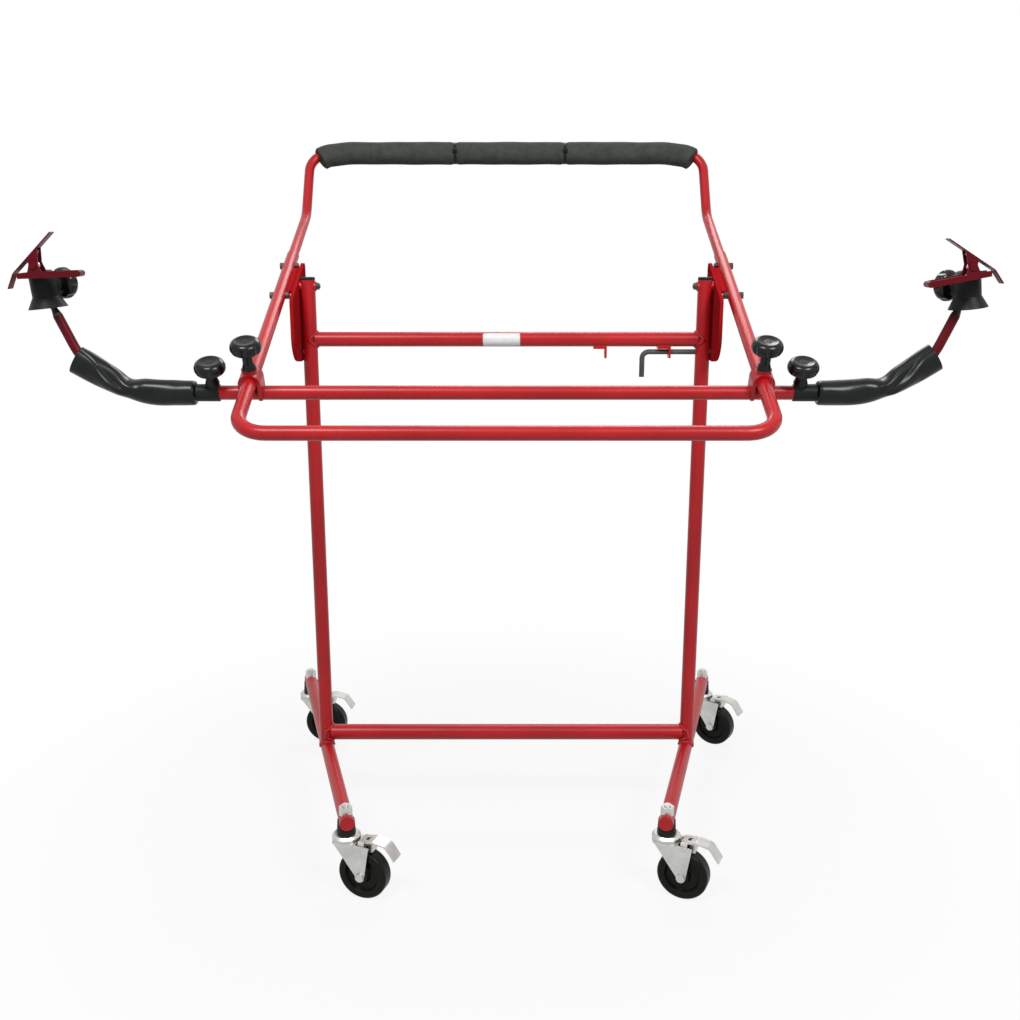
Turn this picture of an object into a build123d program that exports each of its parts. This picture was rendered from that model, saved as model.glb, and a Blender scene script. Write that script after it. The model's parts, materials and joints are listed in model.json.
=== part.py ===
from build123d import *
import math
import os

# A stand that holds a vehicle bumper for repair: a nesting tube base on four braked casters, a tube loop
# that tilts on two uprights, and a cross bar whose two telescoping arms end in ball joints with spring clamps.
# Millimetres. X runs to the right, Y away from the viewer, Z up. The origin is on the floor, under the
# middle of the whole stand.

# Clearances
RUN = 0.06          # radial clearance of a shaft or pin in its hole
SLIP = 0.1          # radial clearance of a tube inside a tube
CLEAR = 0.4         # room between faces that move past each other

# Tubes: outside diameter and wall
FRAME_TUBE = 22.0
FOOT_TUBE = 25.4
FRAME_WALL = 1.6
LOOP_TUBE = 19.0
LOOP_WALL = 1.4
HANDLE_WALL = 1.4
BAR_TUBE = 19.0
BAR_WALL = 1.5
ARM_TUBE = 12.7
ARM_WALL = 1.4
HANDLE_TUBE = LOOP_TUBE - 2 * LOOP_WALL - 2 * SLIP

# Base
UPRIGHT_X = 298.0           # half the distance between the uprights
UPRIGHT_Y = 22.0            # uprights stand this far behind the origin
LEG_TOE = 14.8              # degrees that each leg turns in towards the front
LEG_FRONT = 242.0           # front caster, ahead of the uprights
LEG_REAR = 272.0            # rear caster, behind the uprights
LEG_OVERHANG = 15.0         # leg tube past the caster stem
PIVOT_Z = 868.0             # height of the tilt axis
UPRIGHT_ABOVE_PIVOT = 9.5
UPPER_BAR_DROP = 79.0       # upper crossbar below the tilt axis
CAP_THICK = 4.0
CAP_PLUG = 2.6

# Casters
WHEEL_DIA = 76.0
WHEEL_WIDTH = 24.0
WHEEL_WEB = 13.2            # width of the disc between hub and rim
WHEEL_RIM_DIA = 53.2        # inside of the rim, at its face
WHEEL_DISC_DIA = 47.0       # outside of the disc
WHEEL_EDGE = 1.0
TYRE_CORNER = 5.0
HUB_WIDTH = 27.6
HUB_DIA = 20.0
HUB_FOOT_DIA = 26.0
TRAIL = 28.0                # axle behind the swivel axis
RACEWAY_DIA = 42.0
RACEWAY_THICK = 7.0
RACEWAY_EDGE = 3.2
CROWN_THICK = 5.5
DECK_THICK = 3.3            # fork's deck under its crown
CASTER_TOP = 97.0           # floor to the top of the raceway
FORK_PLATE = 2.5
FORK_ROOM = 0.7             # fork plate to the wheel's hub
FORK_FRONT = 15.0           # fork plate ahead of the swivel axis
FORK_CORNER = 2.0
FORK_BOSS_DIA = 14.0        # round the axle
FORK_BACK = 15.0            # top of the fork plate past the axle
AXLE_DIA = 8.0
AXLE_HEAD = 2.5
AXLE_HEAD_DIA = 12.8
STEM_DIA = 10.0
STEM_HEAD = 3.5
STEM_HEAD_DIA = 18.0
STEM_TIP = 3.0              # stem past its nut
BUSH_DIA = 28.0
BUSH_HEIGHT = 10.0
BUSH_EDGE = 1.5
NUT_AF = 17.0
NUT_HEIGHT = 10.0
PEDAL_WIDTH = 22.0
PEDAL_THICK = 2.5
PEDAL_REACH = 81.0          # pedal tip from the swivel axis
PEDAL_DECK = 22.0           # from the pedal's start to its highest place
PEDAL_SLOPE = 4.0           # start and knee below the highest place
PEDAL_NOSE = 14.0           # bent tip, along the pedal
PEDAL_DROOP = 24.0          # tip below the highest place
PEDAL_BEND = 10.0
PEDAL_ROOM = 3.5            # raceway to the pedal's start
PEDAL_BELOW = 2.5           # pedal's highest place below the raceway's top
PEDAL_HOLE_DIA = 8.5
PEDAL_HOLE_X = 12.0         # hole from the pedal's start
PEDAL_PIN_DIA = 5.0
PEDAL_PIN_BACK = 2.0        # pin behind the axle
PEDAL_PIN_RISE = 6.0        # pin above the wheel
PEDAL_EAR = 10.0            # length of an ear
PEDAL_EAR_SINK = 0.5        # ear's lap on the pedal's edge
PEDAL_EAR_EDGE = 1.0        # metal under the pin, and the ear's taper at each side
SHOE_LENGTH = 8.0
SHOE_WIDTH = 18.0
SHOE_BACK = 10.0            # shoe behind the axle
SHOE_GAP = 2.0              # shoe above the wheel
CASTER_TURN = {"front_left": -20.0, "front_right": -24.0, "rear_left": -8.0, "rear_right": -35.0}

# Tilt frame, in its own frame: pivot at zero, Y along the side tubes towards the handle, Z square to the loop
TILT = 23.35                 # degrees, front rail low
LOOP_X = 336.0              # side tubes from the middle
RAIL_REACH = 395.0          # pivot to the front rail
LOOP_CORNER = 40.0
LOOP_TAIL = 105.0           # pivot to the open ends of the front loop
HANDLE_TAIL = 45.0          # handle tube reaches this far past the pivot, inside the front loop
KICK_REACH = 259.0          # pivot to the bend in the handle
KICK = 33.0                 # degrees that the handle bends up
KICK_RADIUS = 60.0
HANDLE_RISE = 125.0         # bend to the top bar of the handle
HANDLE_CORNER = 36.0
FOAM_DIA = 38.0
FOAM_BEND = 38.0            # degrees of each corner that the foam covers
LOOP_BOLTS = (68.0, -30.0)  # along the side tube
LOOP_BOLT_DIA = 6.0
LOOP_BOLT_AF = 10.0
LOOP_BOLT_HEAD = 4.5
THREAD_TIP = 1.5            # bolt or stud past its nut

# Index plates and tilt pivot
PLATE_THICK = 5.0
PLATE_WASHER = 1.6          # flange of the pivot bush, between upright and plate
PLATE_RADIUS = 112.0
PLATE_HALF_WIDTH = 60.0
PLATE_CORNER = 8.0
PLATE_FOOT_CORNER = 40.0    # rounding of the plate's two lower corners
PLATE_TOP = 9.5             # plate above the side tube's line
INDEX_RADIUS = 98.0
INDEX_STEP = 15.0
INDEX_HOLES = 5
PIVOT_DIA = 6.0
PIVOT_BUSH_WALL = 1.5
PIVOT_FLANGE = 2.5          # how far the bush flange stands out round the bush
PIVOT_NUT_AF = 10.0
PIVOT_NUT = 4.0

# Lock pin
PIN_DIA = 7.8
PIN_LENGTH = 104.0
PIN_HANDLE = 38.0
PIN_BEND = 10.0
PIN_TIP_GAP = 0.5           # withdrawn tip to the index plate
TAB_THICK = 3.0
TAB_WIDTH = 16.0
TAB_LENGTH = 20.0
TAB_DROP = 9.0              # tab below the pin's line
GUIDE_TAB_X = 249.0
STOP_TAB_X = 152.0

# Cross bar with its saddles and collars
BAR_REACH = 270.0           # pivot to the cross bar, along the side tubes
BAR_HALF = 398.0
SADDLE_LENGTH = 26.0
SADDLE_WALL = 5.0
SADDLE_PAD = 17.0           # height of the knob seat over the side tube's middle
SADDLE_SEAT_DIA = 21.0
COLLAR_DIA = 23.0
COLLAR_EDGE = 1.0
COLLAR_GRIP = 19.0          # collar back from the bar's end
COLLAR_NOSE = 12.0          # collar past the bar's end
COLLAR_KNOB_INSET = 11.0    # collar knob back from the bar's end
COLLAR_PAD = 15.0
COLLAR_BOSS_DIA = 17.0
COLLAR_START = BAR_HALF - COLLAR_GRIP
COLLAR_END = BAR_HALF + COLLAR_NOSE
COLLAR_KNOB_X = BAR_HALF - COLLAR_KNOB_INSET
BAR_DROP = LOOP_TUBE / 2 + BAR_TUBE / 2 + CLEAR

# Knobs
KNOB_DIA = 41.0
KNOB_HEAD = 18.0
SADDLE_KNOB_NECK = 24.0
COLLAR_KNOB_NECK = 15.0
KNOB_NECK_DIA = 14.0
KNOB_FOOT_DIA = 19.0
KNOB_FOOT = 9.0             # height over which the foot narrows to the neck
KNOB_UNDER_DIA = 27.0       # underside of the head
KNOB_BELLY = 8.0            # widest place above the underside
KNOB_TOP_DIA = 27.0
KNOB_DISH_DIA = 12.0        # flat middle of the dished top
KNOB_DISH = 1.5
KNOB_LOBES = 6
KNOB_SCALLOP_DIA = 15.0
KNOB_SCALLOP_DEPTH = 2.2
KNOB_STUD_DIA = 8.0
HOLDER_KNOB_NECK = 5.0
HOLDER_KNOB_FOOT = 3.0

# Arms, in their own frame: X outwards along the bar, Z up
ARM_INSIDE = 244.5          # arm back from the bar's end, inside the bar
ARM_RUN = 129.5             # collar's end to where the arm's two straight runs would meet
ARM_BEND = 66.0
ARM_BEND_RADIUS = 110.0
ARM_RISE = 143.1            # corner to the middle of the ball
PLUG_LENGTH = 30.0
PLUG_END = 3.0
SLEEVE_DIA = 34.0
SLEEVE_WALL = 1.5
SLEEVE_MOUTH_DIA = 40.0
SLEEVE_FLARE = 25.0
SLEEVE_RUN = 78.0           # collar's end to where the sleeve's two straight runs would meet
SLEEVE_BEND = 30.0
SLEEVE_BEND_RADIUS = 170.0
SLEEVE_OUTER = 89.0         # sleeve past its corner
SLEEVE_END_WALL = 3.0

# Ball joint and holder, in the holder's frame: ball at zero, X outwards, Z up
BALL_DIA = 22.0
BALL_NECK_DIA = 8.0
BALL_TO_TUBE = 33.0
BALL_TAPER = 9.0            # tube's end to the thin part of the neck
STUB_LENGTH = 12.0
SOCKET_DIA = 34.0
SOCKET_TOP = 28.0
SOCKET_SHOULDER = 5.0
SOCKET_WAIST = -5.0
SOCKET_RIM = -20.0
SOCKET_RIM_DIA = 50.0
SOCKET_RIM_WALL = 2.0
SOCKET_LIP = -4.0
PINCH_Z = 9.0
PINCH_TURN = 64.0           # degrees that the pinch knob points back from the arm
PINCH_STUD_DIA = 7.0
PINCH_BOSS = 20.0
PINCH_BOSS_DIA = 20.0
CLAMP_BACK = 24.0           # clamp's back face ahead of the ball
HOLDER_LEAN = {"right": 7.0, "left": -6.0}

# Spring clamp, in the holder's frame
SHEET = 1.5
CLAMP_WIDTH = 18.0
CLAMP_SIDE_ROOM = 0.6
JAW_HANDLE = (-61.0, 19.5)
JAW_TIP = (15.0, 24.7)
JAW_HALF_HEIGHT = 4.0
JAW_ROLL_DIA = 8.0
CLAMP_PIN = (-8.0, 35.0)
CLAMP_PIN_DIA = 5.0
CLAMP_PIN_HEAD = 1.5
CLAMP_PIN_HEAD_DIA = 9.0
CLAMP_EAR_DIA = 12.0
LEVER_HANDLE = (-36.0, 73.0)
LEVER_KNEE = (20.0, 27.8)
LEVER_TIP = (30.0, 10.0)
LEVER_KNEE_RADIUS = 6.0
LEVER_EAR_DIA = 11.0
EAR_SPREAD = 1.5            # half the foot of an ear, in ear radii
STAKE = (-2.0, 26.0)
STAKE_DIA = 6.0
STAKE_SEAT_DIA = 10.0
STAKE_HEAD_DIA = 8.0
SPRING_WIRE = 1.2
SPRING_COIL_DIA = 8.6
SPRING_QUARTERS = 13        # quarter turns in the coil
SPRING_START = 300.0        # degrees round the pin where the coil starts
SPRING_PITCH = 1.75
SPRING_JAW_LEG = 19.0       # straight end along the fixed jaw
SPRING_LEVER_LEG = 18.0     # straight end under the moving jaw

SIDES = {"left": -1, "right": 1}
PLATE_X = UPRIGHT_X + FRAME_TUBE / 2 + PLATE_WASHER + CLEAR
LEG_Z = CASTER_TOP + BUSH_HEIGHT + FRAME_TUBE / 2
LEG_TOP = LEG_Z + FRAME_TUBE / 2
PIN_Z = PIVOT_Z - INDEX_RADIUS
UPPER_BAR_Z = PIVOT_Z - UPPER_BAR_DROP
UPRIGHT_TOP = PIVOT_Z + UPRIGHT_ABOVE_PIVOT
ARM_INNER = BAR_HALF - ARM_INSIDE
ARM_CORNER_X = COLLAR_END + ARM_RUN
ARM_DIRECTION = Vector(math.cos(math.radians(ARM_BEND)), 0, math.sin(math.radians(ARM_BEND)))
BALL_CENTRE = Vector(ARM_CORNER_X, 0, 0) + ARM_DIRECTION * ARM_RISE

TILT_FRAME = Pos(0, UPRIGHT_Y, PIVOT_Z) * Rot(TILT, 0, 0)
ARM_FRAME = TILT_FRAME * Pos(0, -BAR_REACH, -BAR_DROP) * Rot(-TILT, 0, 0)

nodes = {}


# Shapes that repeat

def rod(start, end, diameter):
    run = Vector(end) - Vector(start)
    along = Plane(origin=start, z_dir=run)
    return along * Cylinder(diameter / 2, run.length, align=(Align.CENTER, Align.CENTER, Align.MIN))


def tube(start, end, diameter, wall):
    return rod(start, end, diameter) - rod(start, end, diameter - 2 * wall)


def swept_rod(path, diameter):
    section = Plane(origin=path @ 0, z_dir=path % 0) * Circle(diameter / 2)
    return sweep(section, path=path)


def swept_tube(path, diameter, wall):
    return swept_rod(path, diameter) - swept_rod(path, diameter - 2 * wall)


def cone(start, end, start_diameter, end_diameter):
    run = Vector(end) - Vector(start)
    along = Plane(origin=start, z_dir=run)
    stand = (Align.CENTER, Align.CENTER, Align.MIN)
    return along * Cone(start_diameter / 2, end_diameter / 2, run.length, align=stand)


def hexagon(start, end, across_flats):
    run = Vector(end) - Vector(start)
    along = Plane(origin=start, z_dir=run)
    outline = RegularPolygon(across_flats / 2, 6, major_radius=False)
    return along * extrude(outline, amount=run.length)


def plate_xz(points, y_low, y_high, radius=0.0):
    # A sheet standing in the XZ plane between two values of Y
    outline = make_face(Polyline(*[(x, z) for x, z in points], close=True))
    if radius:
        outline = fillet(outline.vertices(), radius)
    # The XZ plane's own normal points to -Y
    return Pos(0, y_low, 0) * (Plane.XZ * extrude(outline, amount=-(y_high - y_low)))


def bent_strip(points, radii, width, thick):
    # A flat strip that follows a line in the XZ plane, its width along Y
    path = FilletPolyline(*[(x, 0, z) for x, z in points], radius=radii)
    section = Plane(origin=path @ 0, x_dir=(0, 1, 0), z_dir=path % 0) * Rectangle(width, thick)
    return sweep(section, path=path)


def on_side(shape, side):
    return shape if SIDES[side] > 0 else mirror(shape, about=Plane.YZ)


def group(solids):
    return Compound(children=[s.solid() for s in solids])


def knob(neck, foot_height, stud_dia, stud_length):
    # Lobed clamp knob standing on its foot at zero, with its stud below
    top = neck + KNOB_HEAD
    rim = KNOB_DIA / 2
    foot = KNOB_FOOT_DIA / 2
    waist = KNOB_NECK_DIA / 2
    under = KNOB_UNDER_DIA / 2
    edge = KNOB_TOP_DIA / 2
    dish = KNOB_DISH_DIA / 2
    belly = (rim, neck + KNOB_BELLY)
    below = ((under + 3 * rim) / 4, neck + KNOB_BELLY / 3)
    above = ((edge + 3 * rim) / 4, top - (KNOB_HEAD - KNOB_BELLY) / 3)
    slope = ((edge + dish) / 2, top - KNOB_DISH * 0.6)
    outline = make_face(
        Curve()
        + Polyline((0, 0), (foot, 0), (waist, foot_height), (waist, neck), (under, neck))
        + ThreePointArc((under, neck), below, belly)
        + ThreePointArc(belly, above, (edge, top))
        + ThreePointArc((edge, top), slope, (dish, top - KNOB_DISH))
        + Polyline((dish, top - KNOB_DISH), (0, top - KNOB_DISH), (0, 0))
    )
    body = revolve(Plane.XZ * outline, Axis.Z)
    reach = rim + KNOB_SCALLOP_DIA / 2 - KNOB_SCALLOP_DEPTH
    for lobe in range(KNOB_LOBES):
        turn = Rot(0, 0, (lobe + 0.5) * 360 / KNOB_LOBES)
        body -= turn * rod((reach, 0, neck), (reach, 0, top + 1), KNOB_SCALLOP_DIA)
    return body + rod((0, 0, -stud_length), (0, 0, 1), stud_dia)


# Base frame

def leg_point(y, side):
    # Middle of the leg tube at a distance y behind the uprights
    return Vector(SIDES[side] * (UPRIGHT_X + y * math.tan(math.radians(LEG_TOE))), UPRIGHT_Y + y, LEG_Z)


def stem_place(corner):
    end, side = corner.split("_")
    return leg_point(-LEG_FRONT if end == "front" else LEG_REAR, side)


def leg_solid(side):
    reach = LEG_OVERHANG * math.cos(math.radians(LEG_TOE))
    return rod(leg_point(-LEG_FRONT - reach, side), leg_point(LEG_REAR + reach, side), FRAME_TUBE)


def leg(side):
    reach = LEG_OVERHANG * math.cos(math.radians(LEG_TOE))
    front = leg_point(-LEG_FRONT - reach, side)
    rear = leg_point(LEG_REAR + reach, side)
    inset = (rear - front).normalized() * FRAME_WALL
    body = leg_solid(side) - rod(front + inset, rear - inset, FRAME_TUBE - 2 * FRAME_WALL)
    for end in ("front", "rear"):
        stem = stem_place(f"{end}_{side}")
        body -= rod((stem.X, stem.Y, 0), (stem.X, stem.Y, LEG_TOP + 1), STEM_DIA + 2 * RUN)
    return body


def upright_solid(side):
    x = SIDES[side] * UPRIGHT_X
    return rod((x, UPRIGHT_Y, LEG_Z), (x, UPRIGHT_Y, UPRIGHT_TOP), FRAME_TUBE)


def upright(side):
    x = SIDES[side] * UPRIGHT_X
    foot = (x, UPRIGHT_Y, LEG_Z)
    body = upright_solid(side) - rod(foot, (x, UPRIGHT_Y, UPRIGHT_TOP), FRAME_TUBE - 2 * FRAME_WALL)
    body -= leg_solid(side)
    bush = PIVOT_DIA + 2 * RUN + 2 * PIVOT_BUSH_WALL
    body -= rod((x - FRAME_TUBE, UPRIGHT_Y, PIVOT_Z), (x + FRAME_TUBE, UPRIGHT_Y, PIVOT_Z), bush)
    body -= rod((x - FRAME_TUBE, UPRIGHT_Y, PIN_Z), (x + FRAME_TUBE, UPRIGHT_Y, PIN_Z), PIN_DIA + 2 * RUN)
    return body


def crossbar(z, diameter):
    # Tube between the uprights, its ends cut to fit their round sides
    reach = UPRIGHT_X - FRAME_TUBE / 2 + FRAME_TUBE / 8
    body = tube((-reach, UPRIGHT_Y, z), (reach, UPRIGHT_Y, z), diameter, FRAME_WALL)
    for side in SIDES:
        body -= upright_solid(side)
    return body


def upright_cap(side):
    x = SIDES[side] * UPRIGHT_X
    plug = FRAME_TUBE - 2 * FRAME_WALL
    head = rod((x, UPRIGHT_Y, UPRIGHT_TOP), (x, UPRIGHT_Y, UPRIGHT_TOP + CAP_THICK), FRAME_TUBE)
    head = fillet(head.edges().group_by(Axis.Z)[-1], CAP_THICK / 3)
    return head + rod((x, UPRIGHT_Y, UPRIGHT_TOP - CAP_PLUG), (x, UPRIGHT_Y, UPRIGHT_TOP), plug)


def pivot_bush(side):
    outer = PIVOT_DIA + 2 * RUN + 2 * PIVOT_BUSH_WALL
    half = FRAME_TUBE / 2 + PLATE_WASHER
    body = rod((UPRIGHT_X - half, UPRIGHT_Y, PIVOT_Z), (UPRIGHT_X + half, UPRIGHT_Y, PIVOT_Z), outer)
    flange = outer + 2 * PIVOT_FLANGE
    for way in (-1, 1):
        inner = UPRIGHT_X + way * FRAME_TUBE / 4
        ring = rod((inner, UPRIGHT_Y, PIVOT_Z), (UPRIGHT_X + way * half, UPRIGHT_Y, PIVOT_Z), flange)
        body += ring - upright_solid("right")
    body -= rod((0, UPRIGHT_Y, PIVOT_Z), (2 * UPRIGHT_X, UPRIGHT_Y, PIVOT_Z), PIVOT_DIA + 2 * RUN)
    return on_side(body, side)


def pin_tab(x):
    # Small angle welded under the upper crossbar, with a hole for the lock pin
    seat = UPPER_BAR_Z - FRAME_TUBE / 2
    foot = Pos(x - TAB_LENGTH / 2, UPRIGHT_Y, seat) * Box(TAB_LENGTH, TAB_WIDTH, 2 * TAB_THICK)
    ear_bottom = PIN_Z - TAB_DROP
    ear = Box(TAB_THICK, TAB_WIDTH, seat - ear_bottom)
    body = foot + Pos(x - TAB_THICK / 2, UPRIGHT_Y, (seat + ear_bottom) / 2) * ear
    body -= rod((-UPRIGHT_X, UPRIGHT_Y, UPPER_BAR_Z), (UPRIGHT_X, UPRIGHT_Y, UPPER_BAR_Z), FRAME_TUBE)
    return body - rod((0, UPRIGHT_Y, PIN_Z), (UPRIGHT_X, UPRIGHT_Y, PIN_Z), PIN_DIA + 2 * RUN)


# Casters, in their own frame: swivel axis at zero on the floor, wheel trailing towards +X

def caster_bush(corner):
    stem = stem_place(corner)
    bottom = Vector(stem.X, stem.Y, CASTER_TOP)
    top = Vector(stem.X, stem.Y, LEG_Z)
    body = cone(bottom, top, BUSH_DIA, FRAME_TUBE + 2 * FRAME_WALL)
    body = fillet(body.edges().group_by(Axis.Z)[0], BUSH_EDGE)
    return body - leg_solid(corner.split("_")[1]) - rod(bottom, top, STEM_DIA + 2 * RUN)


def caster_nut(corner):
    stem = stem_place(corner)
    bottom = Vector(stem.X, stem.Y, LEG_Z)
    top = Vector(stem.X, stem.Y, LEG_TOP + NUT_HEIGHT)
    body = hexagon(bottom, top, NUT_AF) - leg_solid(corner.split("_")[1])
    return body - rod(bottom, top, STEM_DIA + 2 * RUN)


def caster_stem(corner):
    # Threaded stem riveted into the raceway plate, with its head under the fork's crown
    stem = stem_place(corner)
    crown_bottom = CASTER_TOP - RACEWAY_THICK - CLEAR - CROWN_THICK
    head_top = crown_bottom - CLEAR
    body = rod((0, 0, head_top), (0, 0, LEG_TOP + NUT_HEIGHT + STEM_TIP), STEM_DIA)
    plate = rod((0, 0, CASTER_TOP - RACEWAY_THICK), (0, 0, CASTER_TOP), RACEWAY_DIA)
    body += chamfer(plate.edges().group_by(Axis.Z)[-1], RACEWAY_EDGE)
    body += rod((0, 0, head_top - STEM_HEAD), (0, 0, head_top), STEM_HEAD_DIA)
    return Pos(stem.X, stem.Y, 0) * body


def caster_fork():
    top = CASTER_TOP - RACEWAY_THICK - CLEAR
    bottom = top - CROWN_THICK
    axle_z = WHEEL_DIA / 2
    inner = HUB_WIDTH / 2 + FORK_ROOM
    outer = inner + FORK_PLATE
    crown = rod((0, 0, bottom), (0, 0, top), RACEWAY_DIA)
    deck_top = bottom + DECK_THICK
    deck_length = FORK_FRONT + RACEWAY_DIA / 2
    deck = Box(deck_length, 2 * outer, DECK_THICK, align=(Align.MIN, Align.CENTER, Align.MIN))
    body = crown + Pos(-FORK_FRONT, 0, bottom) * deck
    boss = FORK_BOSS_DIA / 2
    profile = [
        (-FORK_FRONT, deck_top),
        (TRAIL + FORK_BACK, deck_top),
        (TRAIL + boss, axle_z),
        (TRAIL, axle_z - boss),
        (TRAIL - boss, axle_z),
    ]
    for low, high in ((-outer, -inner), (inner, outer)):
        plate = plate_xz(profile, low, high, FORK_CORNER)
        plate += rod((TRAIL, low, axle_z), (TRAIL, high, axle_z), 2 * boss)
        body += plate
    body -= rod((TRAIL, -outer, axle_z), (TRAIL, outer, axle_z), AXLE_DIA)
    body -= rod((0, 0, 0), (0, 0, CASTER_TOP), STEM_DIA + 2 * RUN)
    pin_x, pin_z = pedal_pin()
    body -= rod((pin_x, -2 * outer, pin_z), (pin_x, 2 * outer, pin_z), PEDAL_PIN_DIA + 2 * RUN)
    axle = rod((TRAIL, -outer, axle_z), (TRAIL, outer, axle_z), AXLE_DIA)
    for way in (-1, 1):
        axle += rod((TRAIL, way * outer, axle_z), (TRAIL, way * (outer + AXLE_HEAD), axle_z), AXLE_HEAD_DIA)
    return body, axle


def caster_wheel():
    tread = WHEEL_DIA / 2
    bore = AXLE_DIA / 2 + RUN
    hub = HUB_DIA / 2
    profile = [
        (bore, HUB_WIDTH), (hub, HUB_WIDTH), (HUB_FOOT_DIA / 2, WHEEL_WEB),
        (WHEEL_DISC_DIA / 2, WHEEL_WEB), (WHEEL_RIM_DIA / 2, WHEEL_WIDTH), (tread, WHEEL_WIDTH),
    ]
    near = [(radius, -width / 2) for radius, width in profile]
    far = [(radius, width / 2) for radius, width in reversed(profile)]
    outline = make_face(Polyline(*near, *far, close=True))
    outline = fillet([v for v in outline.vertices() if v.X > tread - WHEEL_EDGE], TYRE_CORNER)
    edges = [v for v in outline.vertices() if hub - WHEEL_EDGE < v.X < tread - TYRE_CORNER]
    outline = fillet(edges, WHEEL_EDGE)
    return Pos(TRAIL, 0, tread) * revolve(outline, Axis.Y)


def pedal_pin():
    return TRAIL + PEDAL_PIN_BACK, WHEEL_DIA + PEDAL_PIN_RISE


def caster_pedal():
    # Bent brake pedal over the wheel, with ears and pin between the fork's plates and a brake shoe
    pin_x, pin_z = pedal_pin()
    start_x = RACEWAY_DIA / 2 + PEDAL_ROOM
    deck_z = CASTER_TOP - PEDAL_BELOW
    line = [
        (start_x, deck_z - PEDAL_SLOPE), (start_x + PEDAL_DECK, deck_z),
        (PEDAL_REACH - PEDAL_NOSE, deck_z - PEDAL_SLOPE), (PEDAL_REACH, deck_z - PEDAL_DROOP),
    ]
    body = bent_strip(line, [PEDAL_BEND, PEDAL_BEND], PEDAL_WIDTH, PEDAL_THICK)
    hole_x = start_x + PEDAL_HOLE_X
    body -= rod((hole_x, 0, deck_z - PEDAL_DROOP), (hole_x, 0, deck_z + PEDAL_DROOP), PEDAL_HOLE_DIA)
    inner = HUB_WIDTH / 2 + FORK_ROOM
    ear_top = deck_z - PEDAL_THICK
    ear_bottom = pin_z - PEDAL_PIN_DIA / 2 - PEDAL_EAR_EDGE
    wide = PEDAL_EAR / 2
    foot = wide - PEDAL_EAR_EDGE
    ear = [
        (pin_x - wide, ear_top), (pin_x + wide, ear_top),
        (pin_x + foot, ear_bottom), (pin_x - foot, ear_bottom),
    ]
    for way in (-1, 1):
        low, high = sorted((way * (PEDAL_WIDTH / 2 - PEDAL_EAR_SINK), way * (inner - CLEAR)))
        body += plate_xz(ear, low, high)
    body += rod((pin_x, -inner - FORK_PLATE, pin_z), (pin_x, inner + FORK_PLATE, pin_z), PEDAL_PIN_DIA)
    shoe_bottom = WHEEL_DIA + SHOE_GAP
    shoe_height = deck_z - PEDAL_THICK / 2 - shoe_bottom
    shoe = Box(SHOE_LENGTH, SHOE_WIDTH, shoe_height, align=(Align.MIN, Align.CENTER, Align.MIN))
    return body + Pos(TRAIL + SHOE_BACK, 0, shoe_bottom) * shoe


def caster_place(corner):
    stem = stem_place(corner)
    return Pos(stem.X, stem.Y, 0) * Rot(0, 0, CASTER_TURN[corner])


# Tilt frame

def front_loop_path():
    return FilletPolyline(
        (-LOOP_X, LOOP_TAIL, 0), (-LOOP_X, -RAIL_REACH, 0), (LOOP_X, -RAIL_REACH, 0), (LOOP_X, LOOP_TAIL, 0),
        radius=LOOP_CORNER,
    )


def loop_bolt_holes(diameter):
    return [rod((-LOOP_X - LOOP_TUBE, y, 0), (LOOP_X + LOOP_TUBE, y, 0), diameter) for y in LOOP_BOLTS]


def front_loop():
    body = swept_tube(front_loop_path(), LOOP_TUBE, LOOP_WALL)
    for hole in loop_bolt_holes(LOOP_BOLT_DIA):
        body -= hole
    return body


def handle_top():
    # Middle of the handle's top bar, along the side tubes and square to them
    angle = math.radians(KICK)
    return KICK_REACH + HANDLE_RISE * math.cos(angle), HANDLE_RISE * math.sin(angle)


def handle_tube():
    y, z = handle_top()
    path = FilletPolyline(
        (-LOOP_X, -HANDLE_TAIL, 0), (-LOOP_X, KICK_REACH, 0), (-LOOP_X, y, z),
        (LOOP_X, y, z), (LOOP_X, KICK_REACH, 0), (LOOP_X, -HANDLE_TAIL, 0),
        radius=[KICK_RADIUS, HANDLE_CORNER, HANDLE_CORNER, KICK_RADIUS],
    )
    body = swept_tube(path, HANDLE_TUBE, HANDLE_WALL)
    for hole in loop_bolt_holes(LOOP_BOLT_DIA):
        body -= hole
    return body


def foam_grip():
    # Foam over the top bar and the start of its corners, drawn in the handle's own plane
    y, z = handle_top()
    straight = LOOP_X - HANDLE_CORNER
    middle = HANDLE_CORNER
    path = Wire(
        [
            CenterArc((-straight, -middle), HANDLE_CORNER, 90 + FOAM_BEND, -FOAM_BEND).edge(),
            Line((-straight, 0), (straight, 0)).edge(),
            CenterArc((straight, -middle), HANDLE_CORNER, 90, -FOAM_BEND).edge(),
        ]
    )
    wall = (FOAM_DIA - HANDLE_TUBE) / 2 - SLIP
    return Pos(0, y, z) * Rot(KICK, 0, 0) * swept_tube(path, FOAM_DIA, wall)


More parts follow.
